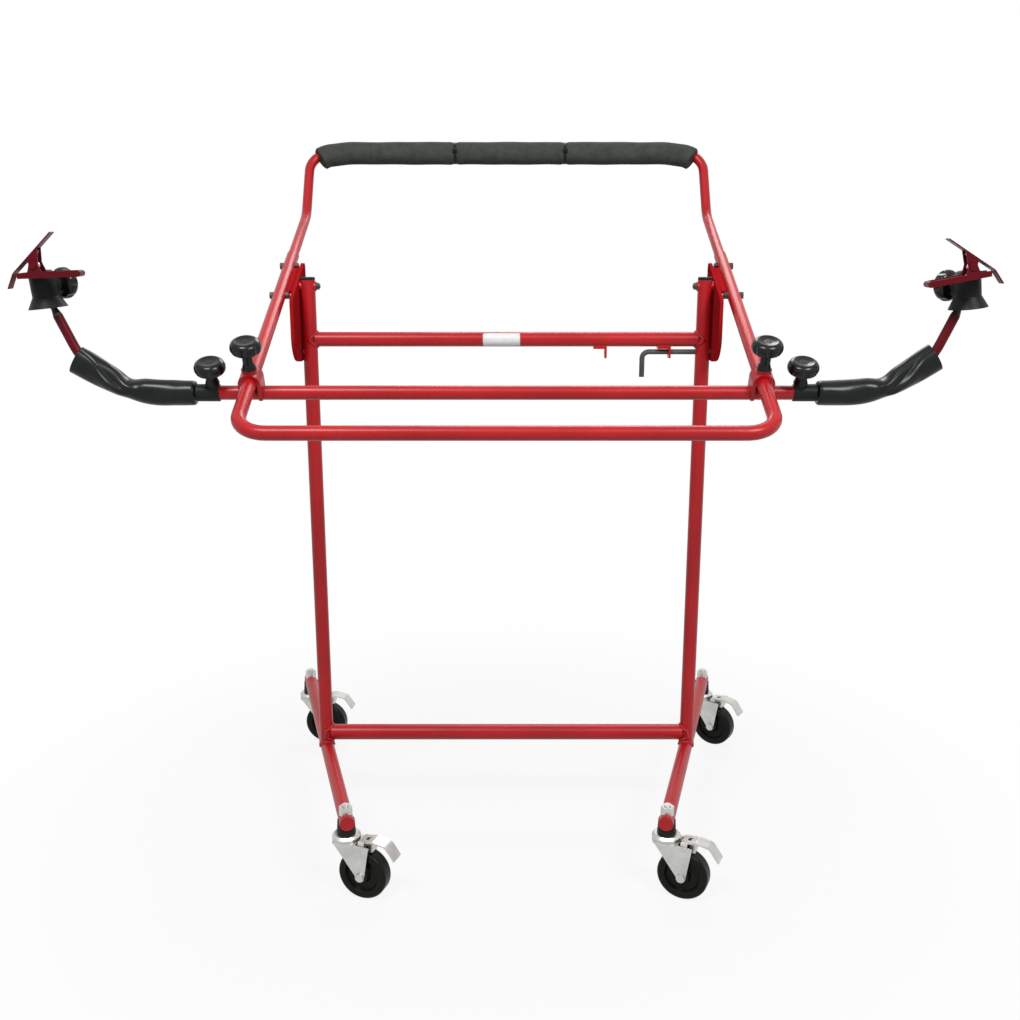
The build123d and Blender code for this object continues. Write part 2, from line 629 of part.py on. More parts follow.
def index_plate(side):
    # Plate with a row of holes round the pivot, its flange reaching out to the side tube
    disc = Circle(PLATE_RADIUS)
    band = Rot(0, 0, -TILT) * Rectangle(2 * PLATE_HALF_WIDTH, 3 * PLATE_RADIUS)
    under_top = Pos(0, PLATE_TOP - PLATE_RADIUS) * Rectangle(4 * PLATE_RADIUS, 2 * PLATE_RADIUS)
    outline = disc & band & under_top
    by_height = outline.vertices().sort_by(Axis.Y)
    outline = fillet(by_height[:2], PLATE_FOOT_CORNER)
    outline = fillet(outline.vertices().sort_by(Axis.Y)[-2:], PLATE_CORNER)
    outline -= Circle(PIVOT_DIA / 2)
    middle = (INDEX_HOLES - 1) / 2
    for hole in range(INDEX_HOLES):
        angle = math.radians(-90 - TILT + (hole - middle) * INDEX_STEP)
        spot = Pos(INDEX_RADIUS * math.cos(angle), INDEX_RADIUS * math.sin(angle))
        outline -= spot * Circle(PIN_DIA / 2 + 2 * SLIP)
    plate = Pos(PLATE_X, 0, 0) * (Plane.YZ * extrude(outline, amount=PLATE_THICK))
    low = min(LOOP_BOLTS) + LOOP_BOLT_AF
    high = max(LOOP_BOLTS) - LOOP_BOLT_AF
    flange = Pos(PLATE_X, low, -PLATE_THICK / 2) * Box(
        LOOP_X - PLATE_X, high - low, PLATE_THICK, align=(Align.MIN, Align.MIN, Align.MIN)
    )
    flange -= rod((LOOP_X, -RAIL_REACH, 0), (LOOP_X, LOOP_TAIL, 0), LOOP_TUBE)
    flange -= rod((0, 0, 0), (PLATE_X + PLATE_THICK, 0, 0), PIVOT_DIA)
    return on_side(plate + flange, side)


def pivot_stud(side):
    nut_face = UPRIGHT_X - FRAME_TUBE / 2 - PLATE_WASHER - CLEAR
    stud = rod((nut_face - PIVOT_NUT - THREAD_TIP, 0, 0), (PLATE_X + PLATE_THICK, 0, 0), PIVOT_DIA)
    nut = hexagon((nut_face - PIVOT_NUT, 0, 0), (nut_face, 0, 0), PIVOT_NUT_AF)
    nut -= rod((0, 0, 0), (UPRIGHT_X, 0, 0), PIVOT_DIA)
    return [on_side(stud, side), on_side(nut, side)]


def loop_bolt(y, side):
    # Bolt through the side tube and the handle tube inside it, with its nut on the inner side
    outer = LOOP_X + LOOP_TUBE / 2
    inner = LOOP_X - LOOP_TUBE / 2
    side_tube = rod((LOOP_X, y - LOOP_TUBE, 0), (LOOP_X, y + LOOP_TUBE, 0), LOOP_TUBE)
    head = hexagon((LOOP_X, y, 0), (outer + LOOP_BOLT_HEAD, y, 0), LOOP_BOLT_AF) - side_tube
    bolt = head + rod((inner - LOOP_BOLT_HEAD - THREAD_TIP, y, 0), (outer, y, 0), LOOP_BOLT_DIA)
    nut = hexagon((inner - LOOP_BOLT_HEAD, y, 0), (LOOP_X, y, 0), LOOP_BOLT_AF) - side_tube
    nut -= rod((0, y, 0), (LOOP_X, y, 0), LOOP_BOLT_DIA)
    return [on_side(bolt, side), on_side(nut, side)]


# Lock pin

def lock_pin():
    tip = PLATE_X - PIN_TIP_GAP
    path = FilletPolyline(
        (tip, UPRIGHT_Y, PIN_Z), (tip - PIN_LENGTH, UPRIGHT_Y, PIN_Z),
        (tip - PIN_LENGTH, UPRIGHT_Y, PIN_Z - PIN_HANDLE), radius=PIN_BEND,
    )
    return swept_rod(path, PIN_DIA)


# Cross bar, in the tilt frame

def cross_bar():
    body = tube((-BAR_HALF, -BAR_REACH, -BAR_DROP), (BAR_HALF, -BAR_REACH, -BAR_DROP), BAR_TUBE, BAR_WALL)
    for side in SIDES:
        x = SIDES[side] * COLLAR_KNOB_X
        body -= rod((x, -BAR_REACH, -BAR_DROP), (x, -BAR_REACH, COLLAR_PAD), KNOB_STUD_DIA + 2 * RUN)
    return body


def saddle(side):
    # Strap over the side tube, welded down onto the bar, with a threaded seat for its knob
    half = LOOP_TUBE / 2 + CLEAR
    outer = half + SADDLE_WALL
    low = -BAR_REACH - SADDLE_LENGTH / 2
    high = -BAR_REACH + SADDLE_LENGTH / 2
    depth = BAR_DROP + BAR_TUBE / 4
    body = rod((LOOP_X, low, 0), (LOOP_X, high, 0), 2 * outer)
    body += Pos(LOOP_X, -BAR_REACH, -depth / 2) * Box(2 * outer, SADDLE_LENGTH, depth)
    body += rod((LOOP_X, -BAR_REACH, 0), (LOOP_X, -BAR_REACH, SADDLE_PAD), SADDLE_SEAT_DIA)
    body -= rod((LOOP_X, low, 0), (LOOP_X, high, 0), 2 * half)
    body -= Pos(LOOP_X, -BAR_REACH, -depth / 2) * Box(2 * half, SADDLE_LENGTH, depth)
    body -= rod((0, -BAR_REACH, -BAR_DROP), (BAR_HALF, -BAR_REACH, -BAR_DROP), BAR_TUBE)
    body -= rod((LOOP_X, -BAR_REACH, 0), (LOOP_X, -BAR_REACH, SADDLE_PAD + 1), KNOB_STUD_DIA + 2 * RUN)
    return on_side(body, side)


def collar(side):
    # End collar over the bar, bored for the arm, with a boss for its knob
    body = rod((COLLAR_START, 0, 0), (COLLAR_END, 0, 0), COLLAR_DIA)
    body = fillet(body.edges().filter_by(GeomType.CIRCLE), COLLAR_EDGE)
    body += rod((COLLAR_KNOB_X, 0, 0), (COLLAR_KNOB_X, 0, COLLAR_PAD), COLLAR_BOSS_DIA)
    body -= rod((0, 0, 0), (BAR_HALF, 0, 0), BAR_TUBE)
    body -= rod((0, 0, 0), (COLLAR_END + 1, 0, 0), ARM_TUBE + 2 * RUN)
    body -= rod((COLLAR_KNOB_X, 0, 0), (COLLAR_KNOB_X, 0, COLLAR_PAD + 1), KNOB_STUD_DIA + 2 * RUN)
    return Pos(0, -BAR_REACH, -BAR_DROP) * on_side(body, side)


# Arms, in the arm's frame

def arm_plug(side):
    outer = BAR_TUBE - 2 * BAR_WALL - 2 * RUN
    start = ARM_INNER - CLEAR - PLUG_END
    body = rod((start, 0, 0), (start + PLUG_LENGTH, 0, 0), outer)
    body -= rod((ARM_INNER - CLEAR, 0, 0), (start + PLUG_LENGTH, 0, 0), ARM_TUBE + 2 * RUN)
    return on_side(body, side)


def arm_tube(side):
    end = BALL_CENTRE - ARM_DIRECTION * BALL_TO_TUBE
    path = FilletPolyline((ARM_INNER, 0, 0), (ARM_CORNER_X, 0, 0), end, radius=ARM_BEND_RADIUS)
    return on_side(swept_tube(path, ARM_TUBE, ARM_WALL), side)


def arm_sleeve(side):
    # Loose sleeve over the bend, gripping the arm at its inner end and flared at its outer one
    bend = math.radians(SLEEVE_BEND)
    outwards = Vector(math.cos(bend), 0, math.sin(bend))
    corner = Vector(COLLAR_END + SLEEVE_RUN, 0, 0)
    start = Vector(COLLAR_END + CLEAR, 0, 0)
    flare = corner + outwards * (SLEEVE_OUTER - SLEEVE_FLARE)
    mouth = corner + outwards * SLEEVE_OUTER
    inner_dia = SLEEVE_DIA - 2 * SLEEVE_WALL
    inner_start = start + Vector(SLEEVE_END_WALL, 0, 0)
    body = swept_rod(FilletPolyline(start, corner, flare, radius=SLEEVE_BEND_RADIUS), SLEEVE_DIA)
    body += cone(flare, mouth, SLEEVE_DIA, SLEEVE_MOUTH_DIA)
    body -= swept_rod(FilletPolyline(inner_start, corner, flare, radius=SLEEVE_BEND_RADIUS), inner_dia)
    body -= cone(flare, mouth, inner_dia, SLEEVE_MOUTH_DIA - 2 * SLEEVE_WALL)
    body -= rod((0, 0, 0), inner_start, ARM_TUBE + 2 * SLIP)
    return on_side(body, side)


def arm_ball(side):
    # Ball on a stub that turns in the arm's open end
    shoulder = BALL_CENTRE - ARM_DIRECTION * (BALL_TO_TUBE - CLEAR)
    taper = BALL_CENTRE - ARM_DIRECTION * (BALL_TO_TUBE - BALL_TAPER)
    stub_end = shoulder - ARM_DIRECTION * STUB_LENGTH
    body = Pos(BALL_CENTRE) * Sphere(BALL_DIA / 2)
    body += rod(BALL_CENTRE, taper, BALL_NECK_DIA)
    body += cone(shoulder, taper, ARM_TUBE, BALL_NECK_DIA)
    body += rod(stub_end, shoulder, ARM_TUBE - 2 * ARM_WALL - 2 * RUN)
    return on_side(body, side)


# Holder, in its own frame

def holder_socket():
    # Bell-shaped socket for the ball, with a wide mouth for the neck, a pinch boss and a staked clamp seat
    waist = SOCKET_DIA / 2
    rim = SOCKET_RIM_DIA / 2
    outline = make_face(
        Polyline(
            (0, SOCKET_TOP), (waist - SOCKET_SHOULDER, SOCKET_TOP), (waist, SOCKET_TOP - SOCKET_SHOULDER),
            (waist, SOCKET_WAIST),
            (rim, SOCKET_RIM), (0, SOCKET_RIM), (0, SOCKET_TOP),
        )
    )
    body = revolve(Plane.XZ * outline, Axis.Z)
    pinch = Rot(0, 0, -PINCH_TURN)
    body += pinch * rod((-PINCH_BOSS, 0, PINCH_Z), (0, 0, PINCH_Z), PINCH_BOSS_DIA)
    stake_x, stake_z = STAKE
    body += rod((stake_x, 0, stake_z), (stake_x, -CLAMP_BACK, stake_z), STAKE_SEAT_DIA)
    body += rod((stake_x, 0, stake_z), (stake_x, -CLAMP_BACK - SHEET, stake_z), STAKE_DIA)
    body += rod(
        (stake_x, -CLAMP_BACK - SHEET, stake_z), (stake_x, -CLAMP_BACK - 2 * SHEET, stake_z), STAKE_HEAD_DIA
    )
    cavity = BALL_DIA / 2 + CLEAR
    lip = math.sqrt(cavity**2 - SOCKET_LIP**2)
    body -= Sphere(cavity)
    body -= cone((0, 0, SOCKET_RIM - 0.01), (0, 0, SOCKET_LIP), SOCKET_RIM_DIA - 2 * SOCKET_RIM_WALL, 2 * lip)
    bore_end = -PINCH_STUD_DIA
    body -= pinch * rod((-2 * PINCH_BOSS, 0, PINCH_Z), (bore_end, 0, PINCH_Z), PINCH_STUD_DIA + 2 * RUN)
    return body


def clamp_band():
    # The clamp's outer faces along Y
    return -CLAMP_BACK - CLAMP_WIDTH, -CLAMP_BACK


def line_height(x):
    # Height of the fixed jaw's middle line
    (x0, z0), (x1, z1) = JAW_HANDLE, JAW_TIP
    return z0 + (z1 - z0) * (x - x0) / (x1 - x0)


def clamp_body():
    # Fixed jaw: a channel with a rolled handle end and two ears for the pin
    front, back = clamp_band()
    pin_x, pin_z = CLAMP_PIN
    x0, x1 = JAW_HANDLE[0], JAW_TIP[0]
    half = JAW_HALF_HEIGHT
    ear = CLAMP_EAR_DIA / 2
    left, right = pin_x - EAR_SPREAD * ear, pin_x + EAR_SPREAD * ear
    flange = [
        (x0, line_height(x0) - half), (x1, line_height(x1) - half), (x1, line_height(x1) + half - 1),
        (right, line_height(right) + half), (pin_x + ear, pin_z), (pin_x - ear, pin_z),
        (left, line_height(left) + half), (x0, line_height(x0) + half),
    ]
    web = [
        (x0, line_height(x0) - half), (x1, line_height(x1) - half),
        (x1, line_height(x1) - half + SHEET), (x0, line_height(x0) - half + SHEET),
    ]
    body = plate_xz(web, front, back)
    for low, high in ((front, front + SHEET), (back - SHEET, back)):
        body += plate_xz(flange, low, high)
        body += rod((pin_x, low, pin_z), (pin_x, high, pin_z), CLAMP_EAR_DIA)
    body += rod((x0, front, line_height(x0)), (x0, back, line_height(x0)), JAW_ROLL_DIA)
    body -= rod((pin_x, front - 1, pin_z), (pin_x, back + 1, pin_z), CLAMP_PIN_DIA)
    stake_x, stake_z = STAKE
    return body - rod((stake_x, back - SHEET - 1, stake_z), (stake_x, back + 1, stake_z), STAKE_DIA)


def clamp_lever():
    # Moving jaw: a bent strip with a hooked tip and two ears inside the fixed jaw's ears
    front, back = clamp_band()
    front += SHEET + CLAMP_SIDE_ROOM
    back -= SHEET + CLAMP_SIDE_ROOM
    pin_x, pin_z = CLAMP_PIN
    strip = bent_strip([LEVER_HANDLE, LEVER_KNEE, LEVER_TIP], [LEVER_KNEE_RADIUS], back - front, SHEET)
    body = Pos(0, (front + back) / 2, 0) * strip
    slope = (LEVER_KNEE[1] - LEVER_HANDLE[1]) / (LEVER_KNEE[0] - LEVER_HANDLE[0])
    ear = LEVER_EAR_DIA / 2

    def strip_height(x):
        return LEVER_HANDLE[1] + slope * (x - LEVER_HANDLE[0])

    left, right = pin_x - EAR_SPREAD * ear, pin_x + EAR_SPREAD * ear
    cheek = [
        (left, strip_height(left)), (right, strip_height(right)), (pin_x + ear, pin_z), (pin_x - ear, pin_z),
    ]
    for low, high in ((front, front + SHEET), (back - SHEET, back)):
        body += plate_xz(cheek, low, high)
        body += rod((pin_x, low, pin_z), (pin_x, high, pin_z), LEVER_EAR_DIA)
    return body - rod((pin_x, front - 1, pin_z), (pin_x, back + 1, pin_z), CLAMP_PIN_DIA + 2 * RUN)


def clamp_pin():
    front, back = clamp_band()
    pin_x, pin_z = CLAMP_PIN
    body = rod((pin_x, front, pin_z), (pin_x, back, pin_z), CLAMP_PIN_DIA)
    for face, way in ((front, -1), (back, 1)):
        body += rod((pin_x, face, pin_z), (pin_x, face + way * CLAMP_PIN_HEAD, pin_z), CLAMP_PIN_HEAD_DIA)
    return body


def arc_pair(start, start_way, end, end_way):
    # Two arcs that leave start along start_way and reach end along end_way
    chord = end - start
    both = start_way + end_way
    a = both.dot(both) - 4
    b = -2 * chord.dot(both)
    c = chord.dot(chord)
    reach = (-b - math.sqrt(b * b - 4 * a * c)) / (2 * a) if abs(a) > 1e-9 else -c / b
    middle = (start + start_way * reach + end - end_way * reach) * 0.5
    first = TangentArc(start, middle, tangent=start_way)
    second = TangentArc(middle, end, tangent=first % 1)
    return [first.edge(), second.edge()]


def least_gap(path, diameter, apart):
    # Least room between a tube and itself, over points further apart along the path than a given length
    count = 400
    points = [path @ (i / count) for i in range(count + 1)]
    skip = math.ceil(apart / path.length * count)
    spans = [(a - b).length for i, a in enumerate(points) for b in points[i + skip:]]
    return min(spans) - diameter


def clamp_spring():
    # Torsion spring round the pin, its two straight ends lying along the jaws
    pin_x, pin_z = CLAMP_PIN
    radius = SPRING_COIL_DIA / 2
    middle_y = sum(clamp_band()) / 2
    quarter = math.pi / 2
    first = math.radians(SPRING_START)
    rise = SPRING_PITCH / (2 * math.pi)
    last = SPRING_QUARTERS * quarter

    def spot(turn):
        angle = first + turn
        along = rise * (turn - last / 2)
        return Vector(pin_x + radius * math.cos(angle), middle_y + along, pin_z + radius * math.sin(angle))

    def way(turn):
        angle = first + turn
        return Vector(-radius * math.sin(angle), rise, radius * math.cos(angle)).normalized()

    edges = [Line(spot(0) - way(0) * SPRING_JAW_LEG, spot(0)).edge()]
    for step in range(SPRING_QUARTERS):
        turn = step * quarter
        edges += arc_pair(spot(turn), way(turn), spot(turn + quarter), way(turn + quarter))
    edges.append(Line(spot(last), spot(last) + way(last) * SPRING_LEVER_LEG).edge())
    path = Wire(edges)
    gap = least_gap(path, SPRING_WIRE, math.pi * radius)
    print("clamp spring: least gap to itself, measured on points,", round(gap, 3), "mm")
    return swept_rod(path, SPRING_WIRE)


def holder_place(side):
    return Pos(BALL_CENTRE) * Rot(0, -HOLDER_LEAN[side], 0)


# All nodes

def build_base():
    for side in SIDES:
        nodes[f"leg_{side}"] = leg(side)
        nodes[f"upright_{side}"] = upright(side)
    nodes["upper_crossbar"] = crossbar(UPPER_BAR_Z, FRAME_TUBE)
    nodes["lower_crossbar"] = crossbar(LEG_TOP + FOOT_TUBE / 2 + CLEAR, FOOT_TUBE)
    nodes["upright_caps"] = group([upright_cap(side) for side in SIDES])
    nodes["pivot_bushes"] = group([pivot_bush(side) for side in SIDES])
    nodes["pin_tabs"] = group([pin_tab(x) for x in (GUIDE_TAB_X, STOP_TAB_X)])


def build_casters():
    nodes["caster_bushings"] = group([caster_bush(corner) for corner in CASTER_TURN])
    nodes["caster_nuts"] = group([caster_nut(corner) for corner in CASTER_TURN])
    nodes["caster_stems"] = group([caster_stem(corner) for corner in CASTER_TURN])
    fork, axle = caster_fork()
    wheel = caster_wheel()
    pedal = caster_pedal()
    for corner in CASTER_TURN:
        place = caster_place(corner)
        nodes[f"caster_fork_{corner}"] = group([place * fork, place * axle])
        nodes[f"caster_wheel_{corner}"] = place * wheel
        nodes[f"caster_pedal_{corner}"] = place * pedal


def build_tilt_frame():
    nodes["front_loop"] = TILT_FRAME * front_loop()
    nodes["handle_tube"] = TILT_FRAME * handle_tube()
    nodes["foam_grip"] = TILT_FRAME * foam_grip()
    studs = []
    bolts = []
    for side in SIDES:
        nodes[f"index_plate_{side}"] = TILT_FRAME * index_plate(side)
        studs += [TILT_FRAME * piece for piece in pivot_stud(side)]
        for y in LOOP_BOLTS:
            bolts += [TILT_FRAME * piece for piece in loop_bolt(y, side)]
    nodes["pivot_studs"] = group(studs)
    nodes["loop_bolts"] = group(bolts)
    nodes["lock_pin"] = lock_pin()


def build_cross_bar():
    nodes["cross_bar"] = TILT_FRAME * cross_bar()
    nodes["bar_saddles"] = group([TILT_FRAME * saddle(side) for side in SIDES])
    nodes["bar_collars"] = group([TILT_FRAME * collar(side) for side in SIDES])
    saddle_stud = SADDLE_PAD - LOOP_TUBE / 2 - CLEAR
    collar_stud = COLLAR_PAD - ARM_TUBE / 2 - CLEAR
    for side in SIDES:
        on_saddle = TILT_FRAME * Pos(SIDES[side] * LOOP_X, -BAR_REACH, SADDLE_PAD)
        on_collar = TILT_FRAME * Pos(SIDES[side] * COLLAR_KNOB_X, -BAR_REACH, COLLAR_PAD - BAR_DROP)
        nodes[f"saddle_knob_{side}"] = on_saddle * knob(SADDLE_KNOB_NECK, KNOB_FOOT, KNOB_STUD_DIA, saddle_stud)
        nodes[f"collar_knob_{side}"] = on_collar * knob(COLLAR_KNOB_NECK, KNOB_FOOT, KNOB_STUD_DIA, collar_stud)


def build_arms():
    # The pinch stud stops short of the ball
    ball_side = math.sqrt((BALL_DIA / 2 + CLEAR) ** 2 - (PINCH_Z - PINCH_STUD_DIA / 2) ** 2)
    pinch_stud = PINCH_BOSS - ball_side - CLEAR
    for side in SIDES:
        nodes[f"arm_plug_{side}"] = ARM_FRAME * arm_plug(side)
        nodes[f"arm_tube_{side}"] = ARM_FRAME * arm_tube(side)
        nodes[f"arm_sleeve_{side}"] = ARM_FRAME * arm_sleeve(side)
        nodes[f"arm_ball_{side}"] = ARM_FRAME * arm_ball(side)
        pinch = Rot(0, 0, -PINCH_TURN) * Pos(-PINCH_BOSS, 0, PINCH_Z) * Rot(0, -90, 0)
        pieces = {
            "holder_socket": holder_socket(),
            "holder_knob": pinch * knob(HOLDER_KNOB_NECK, HOLDER_KNOB_FOOT, PINCH_STUD_DIA, pinch_stud),
            "clamp_body": clamp_body(),
            "clamp_lever": clamp_lever(),
            "clamp_pin": clamp_pin(),
            "clamp_spring": clamp_spring(),
        }
        for name, piece in pieces.items():
            nodes[f"{name}_{side}"] = ARM_FRAME * on_side(holder_place(side) * piece, side)


build_base()
build_casters()
build_tilt_frame()
build_cross_bar()
build_arms()

os.makedirs("parts", exist_ok=True)
for name, shape in nodes.items():
    export_step(shape, f"parts/{name}.step")
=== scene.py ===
"""Looks for a bumper stand: finishes for its tube frame, and the soft and small pieces on it."""

import json
import math

import bmesh
import bpy
from bpy.props import FloatProperty, FloatVectorProperty, IntProperty, PointerProperty
from bpy.types import Operator, Panel, PropertyGroup
from mathutils import Matrix, Vector


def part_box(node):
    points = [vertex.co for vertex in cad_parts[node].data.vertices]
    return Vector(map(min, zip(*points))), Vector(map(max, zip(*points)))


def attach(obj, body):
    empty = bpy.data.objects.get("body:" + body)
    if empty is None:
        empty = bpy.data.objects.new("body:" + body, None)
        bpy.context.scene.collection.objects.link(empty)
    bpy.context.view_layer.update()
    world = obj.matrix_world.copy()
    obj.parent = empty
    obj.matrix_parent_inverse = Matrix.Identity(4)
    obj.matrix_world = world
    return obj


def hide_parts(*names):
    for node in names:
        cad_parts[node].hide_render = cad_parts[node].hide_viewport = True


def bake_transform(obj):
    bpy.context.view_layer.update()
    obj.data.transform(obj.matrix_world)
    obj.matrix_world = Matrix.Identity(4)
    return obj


bl_info = {
    "name": "Bumper Stand",
    "version": (1, 0, 0),
    "blender": (4, 5, 0),
    "location": "View3D > Sidebar > Bumper Stand",
    "description": "Dresses the frame of a wheeled bumper stand",
    "category": "Object",
}

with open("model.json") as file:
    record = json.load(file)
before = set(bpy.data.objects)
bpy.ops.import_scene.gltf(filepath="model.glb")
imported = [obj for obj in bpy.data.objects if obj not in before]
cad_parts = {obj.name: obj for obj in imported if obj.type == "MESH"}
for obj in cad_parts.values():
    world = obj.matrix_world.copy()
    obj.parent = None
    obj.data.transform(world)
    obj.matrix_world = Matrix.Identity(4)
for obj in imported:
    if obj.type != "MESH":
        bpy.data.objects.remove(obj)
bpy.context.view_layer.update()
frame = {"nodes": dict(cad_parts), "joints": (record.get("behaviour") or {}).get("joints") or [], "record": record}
JOINTS = {joint["name"]: joint for joint in frame["joints"]}
SIDES = {"left": -1.0, "right": 1.0}

# Places read from the frame
PIVOT = Vector(JOINTS["tilt"]["pos_m"])
SLOPE = Vector(JOINTS["cross_bar_slide"]["axis"])
UPPER_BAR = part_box("upper_crossbar")
LOWER_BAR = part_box("lower_crossbar")
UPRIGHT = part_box("upright_right")
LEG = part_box("leg_right")
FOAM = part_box("foam_grip")
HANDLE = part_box("handle_tube")
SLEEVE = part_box("arm_sleeve_right")
ARM_AXIS = Vector(JOINTS["arm_turn_right"]["pos_m"])


def length(name, description, default):
    """A size in metres."""
    return FloatProperty(
        name=name, description=description, default=default, min=0.0, unit="LENGTH", precision=4
    )


def place(name, description, default):
    """A position along an axis, in metres."""
    return FloatProperty(name=name, description=description, default=default, unit="LENGTH", precision=4)


def colour(name, description, default):
    return FloatVectorProperty(
        name=name, description=description, default=default, subtype="COLOR", size=3, min=0.0, max=1.0
    )


def angle(name, description, degrees):
    return FloatProperty(name=name, description=description, default=math.radians(degrees), subtype="ANGLE")


# Sizes and colours that a user would change

class StandSizes(PropertyGroup):
    """Sizes of the pieces that dress the frame."""

    foam_diameter: length("Foam diameter", "Outside of the foam grip", 0.038)
    foam_bore: length("Foam bore", "Hole through the foam grip", 0.0162)
    handle_radius: length("Handle radius", "Half the handle tube's diameter", 0.008)
    foam_corner: length("Foam corner", "Bend radius of the handle's corners", 0.036)
    foam_bend: angle("Foam bend", "How far the foam runs round each corner", 38.0)
    handle_kick: angle("Handle kick", "How far the handle bends up from the side tubes", 33.0)
    tie_left: place("Left tie", "Place of the left tie along the foam", -0.088)
    tie_right: place("Right tie", "Place of the right tie along the foam", 0.100)
    tie_width: length("Tie width", "Width of a tie's band", 0.0048)
    tie_thick: length("Tie thickness", "Thickness of a tie's band", 0.0012)
    tie_bite: length("Tie bite", "How deep a tie presses into the foam", 0.0022)
    sleeve_corner: place("Sleeve corner", "Where the sleeve's two straight runs would meet", 0.488)
    sleeve_bend_left: angle("Left sleeve bend", "How far the left sleeve bends up", 28.8)
    sleeve_bend_right: angle("Right sleeve bend", "How far the right sleeve bends up", 31.4)
    sleeve_radius: length("Sleeve bend radius", "Radius of the sleeve's bend", 0.170)
    sleeve_outer: length("Sleeve outer run", "Sleeve from its corner to its mouth", 0.089)
    sleeve_half: length("Sleeve half width", "Half the sleeve's width by the collar", 0.017)
    sleeve_wall: length("Sleeve wall", "Thickness of the sleeve", 0.0014)
    arm_radius: length("Arm radius", "Half the arm tube's diameter", 0.00635)
    bead_radius: length("Weld bead radius", "Half the width of a weld bead", 0.0023)
    bead_pitch: length("Weld ripple", "Distance between the ripples of a weld bead", 0.0026)
    label_left: place("Label left edge", "Left edge of the label on the upper crossbar", -0.0357)
    label_right: place("Label right edge", "Right edge of the label on the upper crossbar", 0.0205)
    label_wrap: angle("Label wrap", "How far the label reaches round the tube, up and down", 58.0)
    label_corner: length("Label corner", "Rounding of the label's corners", 0.003)
    spring_radius: length("Spring radius", "From the clamp's pin to the middle of the spring wire", 0.0043)
    spring_wire: length("Spring wire", "Thickness of the clamp spring's wire", 0.0012)
    spring_pitch: length("Spring pitch", "Distance between the spring's turns", 0.00175)
    spring_quarters: IntProperty(
        name="Spring quarters", description="Quarter turns in the spring", default=13
    )
    spring_start: angle("Spring start", "Where round the pin the spring starts", 300.0)
    spring_jaw_leg: length("Spring jaw leg", "Straight end along the fixed jaw", 0.019)
    spring_lever_leg: length("Spring lever leg", "Straight end under the moving jaw", 0.018)


class StandColours(PropertyGroup):
    """Colours of the finishes."""

    red_paint: colour("Red paint", "Powder coat on the tubes", (0.420, 0.010, 0.014))
    red_shade: colour("Red shade", "Thicker patches of the powder coat", (0.330, 0.006, 0.009))
    # The plate red is the red paint made darker as painted shade, as on plates that sit in shadow; its second tone
    # is random cloudy patches.
    shaded_plate_red: colour("Plate red", "Thin coat on the index plates", (0.360, 0.011, 0.014))
    plate_red_shade: colour("Plate red shade", "Thicker patches on the index plates", (0.280, 0.008, 0.010))
    # The dark red is a darker paint, made darker still as painted shade on the arms and clamps in shadow; its
    # second tone is random cloudy patches.
    shaded_dark_red: colour("Dark red", "Paint on the arms and clamps", (0.122, 0.005, 0.011))
    dark_red_shade: colour("Dark red shade", "Thicker patches of the dark paint", (0.082, 0.003, 0.007))
    zinc: colour("Zinc", "Plated steel", (0.640, 0.635, 0.600))
    zinc_dull: colour("Dull zinc", "Handled patches of the plating", (0.460, 0.460, 0.445))
    dull_steel: colour("Dull steel", "Bolts and nuts of the loop", (0.100, 0.070, 0.066))
    dull_steel_dark: colour("Dark dull steel", "Darker patches of the bolts", (0.062, 0.040, 0.038))
    black_steel: colour("Black steel", "Blackened rod and nuts", (0.050, 0.050, 0.048))
    knob: colour("Knob", "Gloss black plastic", (0.004, 0.004, 0.004))
    nylon: colour("Nylon", "Matt black plastic", (0.008, 0.009, 0.009))
    vinyl: colour("Vinyl", "Soft black sleeve", (0.004, 0.005, 0.005))
    foam: colour("Foam", "Closed-cell foam", (0.040, 0.044, 0.039))
    tyre: colour("Tyre", "Wheel rubber", (0.004, 0.004, 0.003))
    label: colour("Label", "Blank label", (0.700, 0.715, 0.730))


class StandStage(PropertyGroup):
    """Camera and floor."""

    camera_ahead: length("Camera distance", "Camera ahead of the uprights", 1.747)
    camera_height: length("Camera height", "Camera above the floor", 0.9677)
    camera_pitch: angle("Camera pitch", "How far the camera looks down", 14.33)
    focal_pixels: FloatProperty(
        name="Focal length", description="Focal length in pixels of the frame", default=1144.2
    )
    frame_pixels: FloatProperty(name="Frame", description="Width of the frame in pixels", default=1020.0)
    centre_pixels: FloatProperty(
        name="Centre", description="Column of the frame that the stand centres on", default=506.5
    )
    floor: colour("Floor", "Pale floor", (0.600, 0.600, 0.600))


# Small helpers

MERGE_DISTANCE = 1e-7


def sizes():
    return bpy.context.scene.stand_sizes


def colours():
    return bpy.context.scene.stand_colours


def link(obj):
    bpy.context.scene.collection.objects.link(obj)
    return obj


def mesh_object(name, verts, faces, material, smooth=True):
    """A mesh at the origin with outward faces and one material."""
    mesh = bpy.data.meshes.new(name)
    mesh.from_pydata([tuple(v) for v in verts], [], faces)
    work = bmesh.new()
    work.from_mesh(mesh)
    bmesh.ops.remove_doubles(work, verts=work.verts, dist=MERGE_DISTANCE)
    bmesh.ops.recalc_face_normals(work, faces=work.faces)
    work.to_mesh(mesh)
    work.free()
    for polygon in mesh.polygons:
        polygon.use_smooth = smooth
    mesh.materials.append(material)
    return link(bpy.data.objects.new(name, mesh))


def rings_to_faces(rows, columns, close_rows=False):
    """Quads over a grid of rings, each ring closed on itself."""
    faces = []
    for row in range(rows if close_rows else rows - 1):
        below = row * columns
        above = ((row + 1) % rows) * columns
        for column in range(columns):
            beside = (column + 1) % columns
            faces.append((below + column, below + beside, above + beside, above + column))
    return faces


